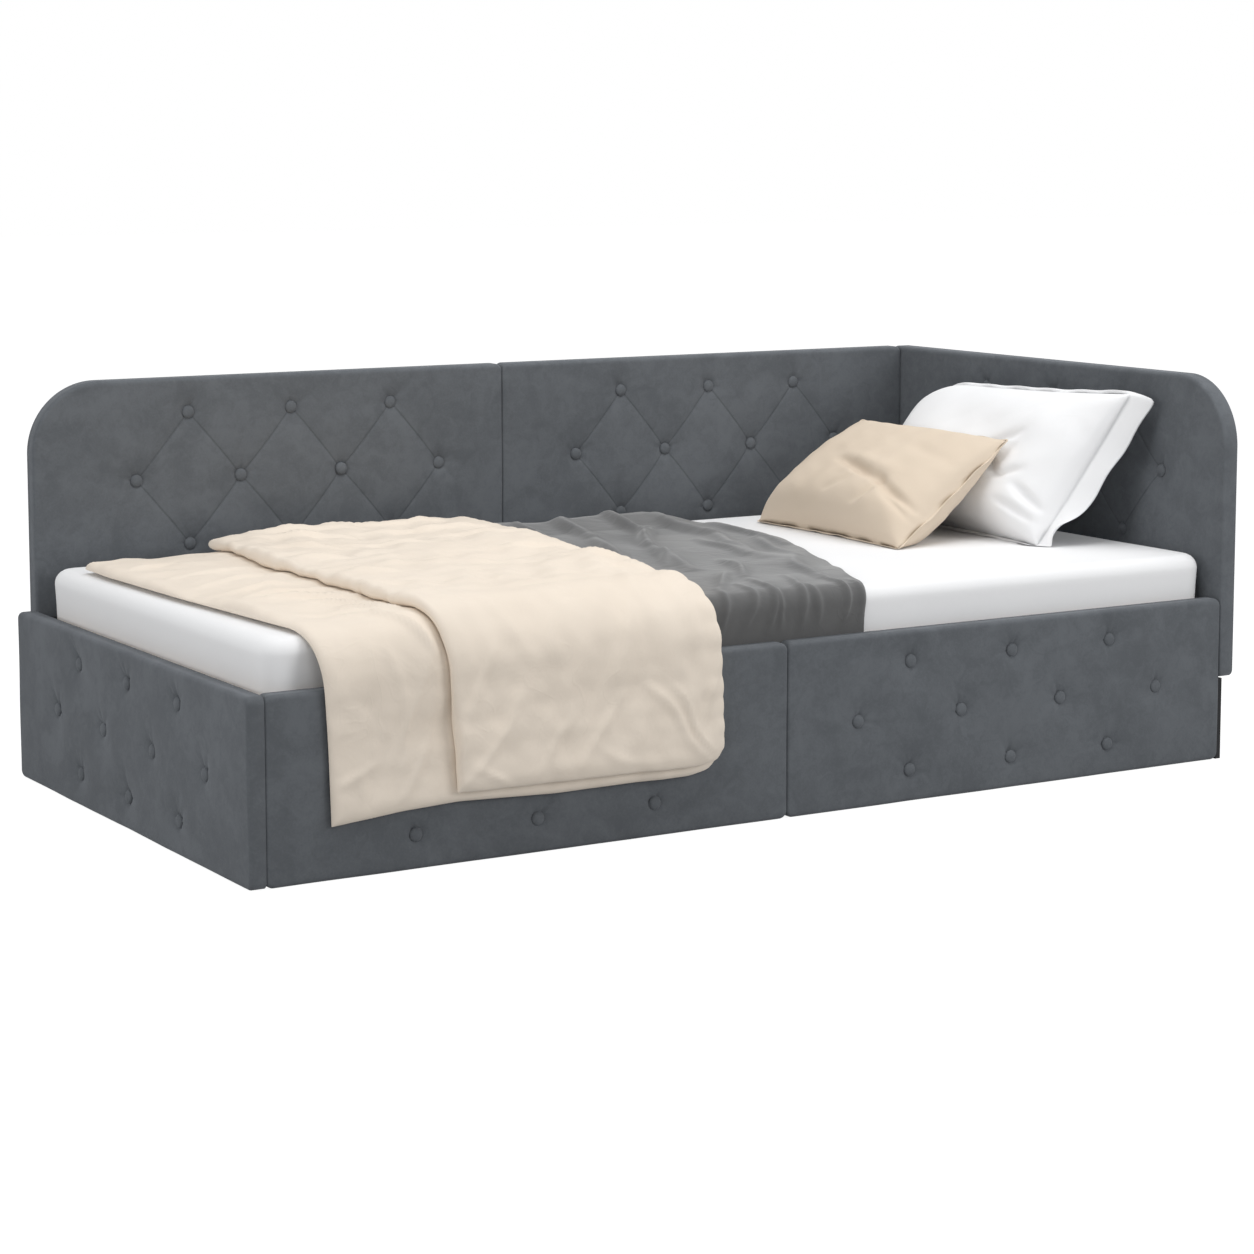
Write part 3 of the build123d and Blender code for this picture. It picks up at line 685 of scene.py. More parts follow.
def rim_of(rows: int, columns: int) -> Array:
    """Point numbers round a grid's edge, in the sense of its faces."""
    numbers = np.arange(rows * columns).reshape(rows, columns)
    return np.concatenate([numbers[0], numbers[1:, -1], numbers[-1, -2::-1], numbers[-2:0:-1, 0]])


def joined_faces(rows: int, columns: int, points: Array) -> tuple[Array, Faces]:
    """Closed form from two grids, an outer and an inner one, that share their edge points.

    Args:
        rows: rows of each grid.
        columns: columns of each grid.
        points: points of the outer grid, then of the inner one.

    Returns:
        The points that are left and the faces.
    """
    count = rows * columns
    faces = grid_faces(rows, columns) + grid_faces(rows, columns, first=count, flip=True)
    edge = rim_of(rows, columns)
    target, kept = np.arange(2 * count), np.ones(2 * count, bool)
    target[edge + count] = edge
    kept[edge + count] = False
    order = (np.cumsum(kept) - 1)[target]
    return points[kept], [tuple(face) for face in order[np.array(faces)].tolist()]


def add_object(name: str, data: bpy.types.ID) -> bpy.types.Object:
    """Make an object and link it to the scene.

    Args:
        name: the object's name.
        data: its mesh, lamp or camera.

    Returns:
        The new object.
    """
    made = bpy.data.objects.new(name, data)
    bpy.context.scene.collection.objects.link(made)
    return made


def mesh_piece(name: str, points: Array, faces: Faces) -> bpy.types.Object:
    """Make a smooth mesh object from points in millimetres.

    Args:
        name: the piece's name.
        points: its points, one row each.
        faces: point numbers of each face, seen from outside.

    Returns:
        The new object, linked to the scene.
    """
    mesh = bpy.data.meshes.new(name)
    mesh.from_pydata((np.asarray(points) * MM).tolist(), [], faces)
    mesh.polygons.foreach_set("use_smooth", [True] * len(mesh.polygons))
    mesh.update()
    return add_object(name, mesh)


def plain_mesh(piece: bpy.types.Object) -> bpy.types.Mesh:
    """New mesh of a piece as its modifiers leave it."""
    graph = bpy.context.evaluated_depsgraph_get()
    return bpy.data.meshes.new_from_object(piece.evaluated_get(graph), depsgraph=graph)


def store(piece: bpy.types.Object, name: str, values: Array) -> None:
    """Keep one number for each point of a piece's mesh."""
    attribute = piece.data.attributes.new(name, "FLOAT", "POINT")
    attribute.data.foreach_set("value", np.asarray(values, np.float32).ravel())


def dress(
    piece: bpy.types.Object, material: bpy.types.Material, body: Body, node: str
) -> bpy.types.Object:
    """Give a piece its finish, the body that it rides on and the node that it stands for.

    Args:
        piece: the finished piece.
        material: its finish.
        body: the moving body that carries it.
        node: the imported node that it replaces.

    Returns:
        The same piece.
    """
    piece.data.materials.clear()
    piece.data.materials.append(material)
    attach(piece, body.value)
    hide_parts(node)
    LOG.info("%s: %d faces", piece.name, len(piece.data.polygons))
    return piece


@dataclass
class Slab:
    """Closed padded form: a swelling face inside an outline, walls behind it and a flat back.

    The walls are rings behind the face, each with its inset and its place outward.
    """

    outline: Outline
    cell: float
    rim: Sequence[float]
    swell: Callable[[Array, Array, Array, Array], Array]
    walls: Sequence[tuple[float, float]]

    def build(self) -> tuple[Array, Faces]:
        """Work out the form in its own axes.

        Returns:
            Points across, up and outward, and the faces.
        """
        outline = self.outline
        s = spaced(outline.right - outline.left, self.cell, self.rim)
        t = spaced(outline.high - outline.low, self.cell, self.rim)
        u, v = self._places(outline, s, t)
        face = np.stack([u, v, self.swell(u, v, *outline.depth(u, v))], axis=-1).reshape(-1, 3)
        blocks, faces = [face], grid_faces(*u.shape)
        edge = rim_of(*u.shape)
        loop, total = edge, len(face)
        for inset, out in self.walls:
            wall_u, wall_v = self._places(outline.shrunk(inset), s, t)
            ring = [wall_u.ravel()[edge], wall_v.ravel()[edge], np.full(len(edge), out)]
            blocks.append(np.column_stack(ring))
            new = np.arange(total, total + len(edge))
            faces += ring_faces(new, loop)
            loop, total = new, total + len(edge)
        faces.append(tuple(loop[::-1].tolist()))
        return np.vstack(blocks), faces

    @staticmethod
    def _places(outline: Outline, s: Array, t: Array) -> tuple[Array, Array]:
        """Spread a grid inside an outline.

        Args:
            outline: the outline to fill.
            s: spacings across, in any unit.
            t: spacings up, in any unit.

        Returns:
            Places across and up, one row for each height.
        """
        v = outline.low + (outline.high - outline.low) * t / t[-1]
        starts, ends = outline.sides(v)
        u = starts[:, None] + (ends - starts)[:, None] * (s / s[-1])[None, :]
        return u, np.repeat(v[:, None], len(s), axis=1)


class ButtonTree(Nodes):
    """Geometry Nodes tree that sets one crowned, covered button on each point."""

    def __init__(self) -> None:
        """Build the tree with named inputs for the button's sizes."""
        super().__init__(bpy.data.node_groups.new("covered_buttons", "GeometryNodeTree"))
        face = self.tree.interface
        for way in ("OUTPUT", "INPUT"):
            face.new_socket("Geometry", in_out=way, socket_type="NodeSocketGeometry")
        kinds = {"Radius": "Float", "Height": "Float", "Facing": "Vector", "Finish": "Material"}
        self.keys = {
            name: face.new_socket(name, in_out="INPUT", socket_type=f"NodeSocket{kind}").identifier
            for name, kind in kinds.items()
        }
        given = self.node("NodeGroupInput").outputs
        ball = self.node("GeometryNodeMeshUVSphere", {}, {"Segments": 28, "Rings": 16, "Radius": 1.0})
        crowned = self._crowned(given["Radius"], given["Height"])
        shaped = self.node("GeometryNodeSetPosition", {}, {0: ball.outputs[0], "Position": crowned})
        turn = self.node("FunctionNodeAlignRotationToVector", {"axis": "Z"}, {"Vector": given["Facing"]})
        spread = {"Points": given[0], "Instance": shaped.outputs[0], "Rotation": turn.outputs[0]}
        last = self.node("GeometryNodeInstanceOnPoints", {}, spread)
        for kind in ("GeometryNodeRealizeInstances", "GeometryNodeSetShadeSmooth"):
            last = self.node(kind, {}, {0: last.outputs[0]})
        last = self.node("GeometryNodeSetMaterial", {}, {0: last.outputs[0], "Material": given["Finish"]})
        self.node("NodeGroupOutput", {}, {0: last.outputs[0]})

    def _crowned(self, radius: bpy.types.NodeSocket, height: bpy.types.NodeSocket) -> bpy.types.NodeSocket:
        """Turn the places on a ball of radius 1 into those on a button with a full rim and a flat crown.

        Args:
            radius: the button's radius.
            height: its height.

        Returns:
            The new places.
        """
        fullness, roundness, least = -0.12, 0.72, 0.0001
        place = self.node("GeometryNodeInputPosition").outputs[0]
        x, y, z = (Value(self, part) for part in self.node("ShaderNodeSeparateXYZ", {}, {0: place}).outputs)
        flat = self.node("ShaderNodeCombineXYZ", {}, {0: x, 1: y}).outputs[0]
        away = self.node("ShaderNodeVectorMath", {"operation": "LENGTH"}, {0: flat}).outputs["Value"]
        reach = Value(self, away)
        scale = reach.maths("MAXIMUM", least).maths("POWER", fullness) * radius
        lift = abs(z).maths("POWER", roundness) * z.maths("SIGN") * height
        return self.node("ShaderNodeCombineXYZ", {}, {0: x * scale, 1: y * scale, 2: lift}).outputs[0]

    def scatter(self, name: str, spots: Array, **sizes: Any) -> bpy.types.Object:
        """Set buttons on the spots and turn the result into a plain mesh.

        Args:
            name: the piece's name.
            spots: their seats, in millimetres.
            sizes: the tree's named inputs.

        Returns:
            The new object.
        """
        seed = mesh_piece(f"{name}_spots", spots, [])
        modifier = seed.modifiers.new("buttons", "NODES")
        modifier.node_group = self.tree
        for key, value in sizes.items():
            modifier[self.keys[key]] = value
        mesh = plain_mesh(seed)
        mesh.name = name
        seed.modifiers.remove(modifier)
        bpy.data.objects.remove(seed)
        return add_object(name, mesh)


@dataclass
class TuftedPanel:
    """Velvet panel over foam with three rows of buttons, sewn in diamonds where it is tall.

    Each button pulls a narrow core and a wide hollow into the foam, and a few short wrinkles into the cloth.
    """

    name: str
    facing: Facing
    pad: float
    pitch: float
    row_pitch: float
    middle_rise: float
    shift: float = 0.0
    sewn: bool = False
    corner_radii: tuple[float, float, float, float] = (14.0, 14.0, 14.0, 14.0)
    edge_level: float = 8.0
    edge_upright: float = 5.0
    wrap: float = 4.0
    wrap_gap: float = 0.3
    board: float = 15.0
    crown: float = 1.2
    crown_reach: float = 60.0
    unevenness: float = 0.5
    uneven_wave: float = 260.0
    tuft_depth: float = 9.5
    tuft_core: float = 7.0
    tuft_hollow: float = 34.0
    spread: float = 0.3
    pull: float = 1.5
    pull_count: int = 6
    pull_width: float = 0.19
    pull_spread: float = 0.9
    pull_start: float = 4.0
    pull_least: float = 18.0
    pull_extra: float = 14.0
    diamond_swell: float = 4.2
    diamond_drop: float = 2.6
    button_radius: float = 12.5
    button_height: float = 7.0
    button_seat: float = 0.86
    button_hold: float = 0.75
    seed: int = 1
    cell: float = 3.2
    fill: float = 0.85
    rim: Sequence[float] = (0.0, 0.12, 0.5, 1.1, 2.0, 3.2, 4.8, 7.0, 10.0)

    def __post_init__(self) -> None:
        """Take the panel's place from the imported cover."""
        low, high = (np.array(corner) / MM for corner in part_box(f"{self.name}_cover"))
        self.across, self.out = (np.array(axis) for axis in self.facing.value)
        middle = (low + high) / 2
        self.origin = middle - (middle @ self.out) * self.out
        self.origin[2] = 0.0
        self.origin += (max(low @ self.out, high @ self.out) - self.pad) * self.out
        half = abs((high - low) @ self.across) / 2
        self.outline = Outline(-half, half, low[2], high[2], self.corner_radii)

    def tufts(self) -> list[tuple[float, float]]:
        """Lay out the ten buttons.

        Returns:
            Their places across and up on the face.
        """
        rows = ((1.0, (-1.0, 0.0, 1.0)), (0.0, (-1.5, -0.5, 0.5, 1.5)), (-1.0, (-1.0, 0.0, 1.0)))
        return [
            (self.shift + step * self.pitch, self.middle_rise + row * self.row_pitch)
            for row, steps in rows
            for step in steps
        ]

    def _swell(self, u: Array, v: Array, depth: Array, level: Array) -> Array:
        """Height of the velvet face over the board.

        Args:
            u: places across.
            v: places up.
            depth: distance from the panel's edge.
            level: 1 where that edge is level, 0 where it is upright.

        Returns:
            The heights.
        """
        edge = self.edge_upright + (self.edge_level - self.edge_upright) * level
        near = np.clip(edge - depth, 0.0, edge)
        height = self.pad - edge + np.sqrt(edge**2 - near**2)
        height += self.crown * ramped(depth, 0.0, self.crown_reach)
        height += self.unevenness * ripple(u, v, self.uneven_wave, self.seed)
        chance = np.random.default_rng(SEED * 100 + self.seed)
        for tuft_u, tuft_v in self.tufts():
            du, dv = u - tuft_u, v - tuft_v
            out = np.maximum(np.hypot(du, dv) - self.button_hold * self.button_radius, 0.0)
            core, hollow = np.exp(-out / self.tuft_core), np.exp(-((out / self.tuft_hollow) ** 2))
            height -= self.tuft_depth * ((1 - self.spread) * core + self.spread * hollow)
            turn = np.arctan2(dv, du)
            for _ in range(self.pull_count):
                angle = math.pi / 2 + self.pull_spread * chance.standard_normal()
                length = self.pull_least + self.pull_extra * chance.random()
                lobe = np.exp(-((np.angle(np.exp(1j * (turn - angle))) / self.pull_width) ** 2))
                height -= self.pull * lobe * np.exp(-out / length) * ramped(out, 0.0, self.pull_start)
        return height + self._diamonds(u, v) if self.sewn else height

    def _diamonds(self, u: Array, v: Array) -> Array:
        """Soft swell of the sewn diamonds, lowest along their lines.

        Args:
            u: places across.
            v: places up.

        Returns:
            The heights.
        """
        across, rise = self._pattern(u, v)
        lines = np.abs(np.cos(math.pi * (across + rise / 2)) * np.cos(math.pi * (across - rise / 2)))
        fade = ramped(-np.abs(rise), -1.02, 0.3) * ramped(-np.abs(across), -1.52, 0.25)
        return (self.diamond_swell * lines**0.4 - self.diamond_drop) * fade * fade * (3 - 2 * fade)

    def _pattern(self, u: Array, v: Array) -> tuple[Array, Array]:
        """Places in the tufting, counted in button pitches."""
        return (u - self.shift) / self.pitch, (v - self.middle_rise) / self.row_pitch

    def placed(self, points: Array) -> Array:
        """Points in the panel's own axes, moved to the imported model's frame."""
        u, v, w = points[:, 0:1], points[:, 1:2], points[:, 2:3]
        return self.origin + u * self.across + v * np.array((0.0, 0.0, 1.0)) + w * self.out

    def build_cover(self, velvet: bpy.types.Material) -> bpy.types.Object:
        """Make the padded cover with its pocket for the board.

        Args:
            velvet: its finish.

        Returns:
            The new piece.
        """
        inset = self.wrap - self.wrap_gap
        walls = ((0.0, -self.board), (inset, -self.board), (inset, 0.1))
        points, faces = Slab(self.outline, self.cell, self.rim, self._swell, walls).build()
        cover = mesh_piece(f"{self.name}_velvet", self.placed(points), faces)
        outside = 0.0 if self.sewn else NO_DIAMOND
        for name, place in zip(("diamond_u", "diamond_v"), self._pattern(points[:, 0], points[:, 1])):
            store(cover, name, place + outside)
        return dress(cover, velvet, Body.FRAME, f"{self.name}_cover")

    def build_buttons(self, velvet: bpy.types.Material, stamp: ButtonTree) -> bpy.types.Object:
        """Make the covered buttons from one node tree.

        Args:
            velvet: their finish.
            stamp: the tree that sets them.

        Returns:
            The new piece.
        """
        seat = self.pad - self.tuft_depth * self.button_seat
        buttons = stamp.scatter(
            f"{self.name}_button_set",
            self.placed(np.array([(u, v, seat) for u, v in self.tufts()])),
            Radius=self.button_radius * MM,
            Height=self.button_height * MM,
            Facing=tuple(self.out),
            Finish=velvet,
        )
        for name in ("diamond_u", "diamond_v"):
            store(buttons, name, np.full(len(buttons.data.vertices), NO_DIAMOND))
        return dress(buttons, velvet, Body.FRAME, f"{self.name}_buttons")


@dataclass
class Mattress:
    """Foam mattress in a white knitted cover, with soft round edges and a slight crown."""

    edge: float = 27.0
    corner: float = 45.0
    waist: float = 3.0
    crown: float = 2.6
    crown_room: float = 3.0
    crown_reach: float = 220.0
    unevenness: float = 0.35
    uneven_wave: float = 330.0
    even_edge: float = 40.0
    cell: float = 11.0
    fill: float = 0.95
    rim: Sequence[float] = (0.0, 0.4, 1.5, 3.4, 6.0, 9.5, 14.0, 20.0, 27.0)

    def __post_init__(self) -> None:
        """Take the mattress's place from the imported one."""
        self.low, self.high = (np.array(corner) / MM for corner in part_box("mattress"))
        self.shoulder = self.high[2] - self.crown_room - self.edge

    def _swell(self, u: Array, v: Array, depth: Array, level: Array) -> Array:
        """Height of the top.

        Args:
            u: places along.
            v: places across.
            depth: distance from the mattress's edge.
            level: not needed, as all its sides are alike.

        Returns:
            The heights over the floor.
        """
        near = np.clip(self.edge - depth, 0, self.edge)
        top = self.shoulder + np.sqrt(self.edge**2 - near**2)
        uneven = self.unevenness * ripple(u, v, self.uneven_wave, seed=31)
        uneven *= ramped(depth, 0.0, self.even_edge)
        return top + self.crown * ramped(depth, 0.0, self.crown_reach) + uneven

    def build(self, cloth: bpy.types.Material) -> bpy.types.Object:
        """Make the mattress in its packed place.

        Args:
            cloth: its finish.

        Returns:
            The new piece.
        """
        low, high = self.low, self.high
        straight = self.shoulder - low[2] - self.edge
        walls = [
            (self.waist * math.sin(math.pi * share), self.shoulder - share * straight)
            for share in np.linspace(0.05, 1.0, 12)
        ]
        walls += [
            (self.edge * (1 - math.cos(angle)), low[2] + self.edge * (1 - math.sin(angle)))
            for angle in np.linspace(0.2, 1.0, 6) * math.pi / 2
        ]
        outline = Outline(low[0], high[0], low[1], high[1], (self.corner,) * 4)
        piece = mesh_piece("mattress_cover", *Slab(outline, self.cell, self.rim, self._swell, walls).build())
        return dress(piece, cloth, Body.MATTRESS, "mattress")


@dataclass
class DrapePath:
    """Line that cloth follows across the bed: level from the back, round a bend, then straight down.

    Places are measured from the rail's front face, heights from the floor. The bend is a rounded corner.
    """

    level: float
    bend_start: float
    drop: float
    bend_end: float
    squareness: float = 3.0
    nearby: float = 2.0
    table: Array = field(init=False)
    bend_length: float = field(init=False)

    def __post_init__(self) -> None:
        """Tabulate the bend by its length."""
        turn = np.linspace(0, math.pi / 2, 400)
        wide, tall = self.bend_start - self.drop, self.level - self.bend_end
        y = self.bend_start - wide * np.sin(turn) ** (2 / self.squareness)
        z = self.bend_end + tall * np.cos(turn) ** (2 / self.squareness)
        length = np.concatenate([[0.0], np.cumsum(np.hypot(np.diff(y), np.diff(z)))])
        self.bend_length = float(length[-1])
        self.table = np.stack([length, y, z])

    def at(self, t: Array) -> tuple[Array, Array, Array, Array]:
        """Place and outward direction at a distance past the start of the bend.

        Args:
            t: distances; below 0 lies on the level part.

        Returns:
            Depth and height, then the outward direction's two parts.
        """
        y, z = self._point(t)
        before, after = self._point(t - self.nearby), self._point(t + self.nearby)
        run_y, run_z = after[0] - before[0], after[1] - before[1]
        size = np.hypot(run_y, run_z)
        return y, z, run_z / size, -run_y / size

    def down(self, height: Array) -> Array:
        """Distance past the start of the bend at which the hanging part reaches a height."""
        return self.bend_length + self.bend_end - height

    def _point(self, t: Array) -> tuple[Array, Array]:
        """Find the place at a distance past the start of the bend.

        Args:
            t: distances; below 0 lies on the level part.

        Returns:
            Depth and height.
        """
        length, y_table, z_table = self.table
        y = np.interp(t, length, y_table) + np.maximum(-t, 0)
        z = np.interp(t, length, z_table) - np.maximum(t - length[-1], 0)
        return y, z


def bed_frame() -> tuple[float, float]:
    """Find the corner that the bedding is measured from.

    Returns:
        Place of the footboard's inner face and of the rail's front face, in millimetres.
    """
    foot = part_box("footboard_cover")[1][0] / MM
    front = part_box("front_rail_foot_cover")[0][1] / MM
    return foot, front


class SmoothLine:
    """Smooth curve through a few known points, for the edges of cloth."""

    def __init__(self, *points: tuple[float, float], blur: float = 0.06) -> None:
        """Tabulate the curve.

        Args:
            points: places and values, from the lowest place to the highest.
            blur: share of the whole run over which corners are rounded.
        """
        known, count = np.array(points), 700
        margin = 0.2 * (known[-1, 0] - known[0, 0])
        self.places = np.linspace(known[0, 0] - margin, known[-1, 0] + margin, count)
        values = np.interp(self.places, known[:, 0], known[:, 1])
        kernel = np.exp(-(np.linspace(-2.5, 2.5, int(count * blur) | 1) ** 2))
        padded = np.pad(values, len(kernel) // 2, mode="edge")
        self.values = np.convolve(padded, kernel / kernel.sum(), mode="valid")

    def __call__(self, place: Array) -> Array:
        """Value at each place."""
        return np.interp(place, self.places, self.values)


def stroke(p: Array, q: Array, line: Sequence[float], width: float) -> Array:
    """Soft ridge along a straight line, fading at both ends.

    Args:
        p: first coordinate.
        q: second coordinate.
        line: start and end of the ridge.
        width: half width.

    Returns:
        Height of the ridge, up to 1.
    """
    start, end = np.array(line[:2]), np.array(line[2:])
    run = end - start
    share = np.clip(((p - start[0]) * run[0] + (q - start[1]) * run[1]) / (run @ run), 0, 1)
    away = np.hypot(p - start[0] - share * run[0], q - start[1] - share * run[1])
    return np.exp(-((away / width) ** 2)) * np.sin(math.pi * np.clip(0.08 + 0.84 * share, 0, 1)) ** 0.7


def wrinkles(p: Array, q: Array, strokes: Sequence[Stroke], wander: float) -> Array:
    """Sum of soft ridges.

    Args:
        p: first coordinate.
        q: second coordinate.
        strokes: start, end, half width and height of each ridge.
        wander: how far the ridges stray from their straight lines, in waves 36 times as long.

    Returns:
        Height at each place.
    """
    bent = [side + wander * ripple(p, q, 36.0 * wander, seed) for side, seed in ((p, 81), (q, 82))]
    total = np.zeros_like(p)
    for *line, width, height in strokes:
        total += height * stroke(*bent, line, width)
    return total


@dataclass
class DuvetLayer:
    """One layer of the duvet: its four edges, its thickness and its wrinkles.

    Foot and head edges are places along the bed for distances along the drape. The back edge is a place
    across the bed and the hem a height, both for places along the bed. The lip is how far edges stand off.
    """

    foot: SmoothLine
    head: SmoothLine
    back: SmoothLine
    hem: SmoothLine
    thickness: float
    foot_rounding: float
    edge_rounding: float
    lip: float
    strokes: Sequence[Stroke]
    seed: int
    wander: float = 5.0

    def top(self, x: Array, t: Array) -> Array:
        """Thickness with its wrinkles, away from the edges.

        Args:
            x: places along the bed.
            t: distances along the drape.

        Returns:
            The thickness at each place.
        """
        soft = 2.0 * ripple(x, t, 240.0, self.seed, slant=0.8, spread=2.2)
        fine = 1.1 * ripple(x, t, 68.0, self.seed + 1, slant=0.9, spread=2.6)
        small = 0.35 * ripple(x, t, 40.0, self.seed + 2, waves=14)
        return self.thickness + soft + fine + small + wrinkles(x, t, self.strokes, self.wander)


@dataclass
class Duvet:
    """Beige duvet, folded double towards the head end and hanging over the front rail.

    Its head edge is gathered, most of all at gather_peak, near where it turns down over the mattress.
    """

    rest: float = 1.2
    throw_start: float = 690.0
    throw_lift: float = 6.0
    throw_ramp: float = 45.0
    between: float = 1.0
    lower_start: float = 90.0
    back_reach: float = 950.0
    hem_reach: float = 110.0
    gather_pitch: float = 33.0
    gather_depth: float = 4.5
    gather_reach: float = 26.0
    gather_sway: float = 61.0
    gather_least: float = 0.35
    gather_peak: float = -60.0
    gather_run: float = 220.0
    pucker: float = 0.4
    pucker_reach: float = 20.0
    cell: float = 6.0
    fill: float = 0.3
    rim: Sequence[float] = (0.0, 0.5, 1.8, 4.0, 7.0, 11.0, 16.0, 22.0)

    def __post_init__(self) -> None:
        """Set the drape over the mattress edge and the rail, and both layers on it."""
        self.path = DrapePath(level=401.5, bend_start=112.0, drop=-2.0, bend_end=292.0)
        self.lower = DuvetLayer(
            foot=SmoothLine(
                (-800, 50), (-734, 47), (-400, 58), (-60, 80), (40, 88), (130, 102), (240, 108), (370, 112)
            ),
            head=SmoothLine((-830, 846), (0, 838), (370, 850)),
            back=SmoothLine((30, 896), (300, 942), (860, 948)),
            hem=SmoothLine(
                (95, 90), (240, 103), (345, 108), (520, 101), (790, 103), (835, 112), (852, 150), blur=0.05
            ),
            thickness=17.0,
            foot_rounding=20.0,
            edge_rounding=20.0,
            lip=4.0,
            strokes=LOWER_FOLDS,
            seed=51,
        )
        self.upper = DuvetLayer(
            foot=SmoothLine(
                (-850, 322), (-600, 306), (-300, 302), (0, 292), (60, 296), (150, 318), (350, 330)
            ),
            head=SmoothLine(
                (-830, 872), (-500, 866), (-330, 858), (-110, 832), (10, 818), (120, 834), (350, 846)
            ),
            back=SmoothLine((300, 958), (500, 976), (700, 985), (880, 940)),
            hem=SmoothLine((330, 128), (500, 126), (790, 124), (832, 130), (850, 160), blur=0.05),
            thickness=23.0,
            foot_rounding=13.0,
            edge_rounding=26.0,
            lip=10.0,
            strokes=UPPER_FOLDS,
            seed=61,
        )

    def _over_bed(self, x: Array, t: Array) -> Array:
        """Height of the lower layer's underside over the drape, more where the throw lies below."""
        return self.rest + self.throw_lift * ramped(x, self.throw_start, self.throw_ramp)

    def _over_lower(self, x: Array, t: Array) -> Array:
        """Height of the upper layer's underside over the drape."""
        lower = self.lower.top(x, t) * rounded(x - self.lower_start, self.lower.foot_rounding)
        return self._over_bed(x, t) + lower + self.between

    def _layer(self, layer: DuvetLayer, under: Callable[[Array, Array], Array]) -> tuple[Array, Faces]:
        """One closed layer.

        Args:
            layer: its edges and thickness.
            under: height of its underside over the drape.

        Returns:
            Points and faces.
        """
        path = self.path
        low, high = path.bend_start - self.back_reach, path.down(self.hem_reach)
        t_line = spaced(high - low, self.cell, self.rim)
        first, last = layer.foot(low + t_line)[:, None], layer.head(low + t_line)[:, None]
        s = spaced(float(np.mean(last - first)), self.cell, self.rim)
        x = first + (last - first) * (s / s[-1])[None, :]
        back, hem = path.bend_start - layer.back(x), path.down(layer.hem(x))
        t = back + (hem - back) * (t_line / t_line[-1])[:, None]
        from_head = last - x
        gather = np.abs(np.sin(math.pi * t / self.gather_pitch + 0.9 * np.sin(t / self.gather_sway))) ** 0.8
        peak = np.exp(-(((t - self.gather_peak) / self.gather_run) ** 2))
        strength = self.gather_least + (1 - self.gather_least) * peak
        x = x + self.gather_depth * strength * gather * np.clip(1 - from_head / self.gather_reach, 0, 1)
        others = rounded(np.minimum(from_head, np.minimum(t - back, hem - t)), layer.edge_rounding)
        bulge = np.minimum(rounded(x - first, layer.foot_rounding), others)
        flat = self.pucker * strength * (1 - gather) * np.exp(-np.maximum(from_head, 0) / self.pucker_reach)
        inner = under(x, t) + layer.lip * (1 - bulge)
        outer = inner + layer.top(x, t) * bulge * (1 - flat)
        y, z, out_y, out_z = path.at(t)
        foot, front = bed_frame()
        grids = [
            np.stack([x + foot, y + out_y * off + front, z + out_z * off], axis=-1)[:, ::-1].reshape(-1, 3)
            for off in (outer, inner)
        ]
        return joined_faces(*x.shape, np.vstack(grids))

    def build(self, cloth: bpy.types.Material) -> bpy.types.Object:
        """Make both layers as one piece.

        Args:
            cloth: its finish.

        Returns:
            The new piece.
        """
        lower_points, lower_faces = self._layer(self.lower, self._over_bed)
        upper_points, upper_faces = self._layer(self.upper, self._over_lower)
        shift = len(lower_points)
        faces = lower_faces + [tuple(i + shift for i in face) for face in upper_faces]
        piece = mesh_piece("duvet_folded", np.vstack([lower_points, upper_points]), faces)
        return dress(piece, cloth, Body.MATTRESS, "duvet")


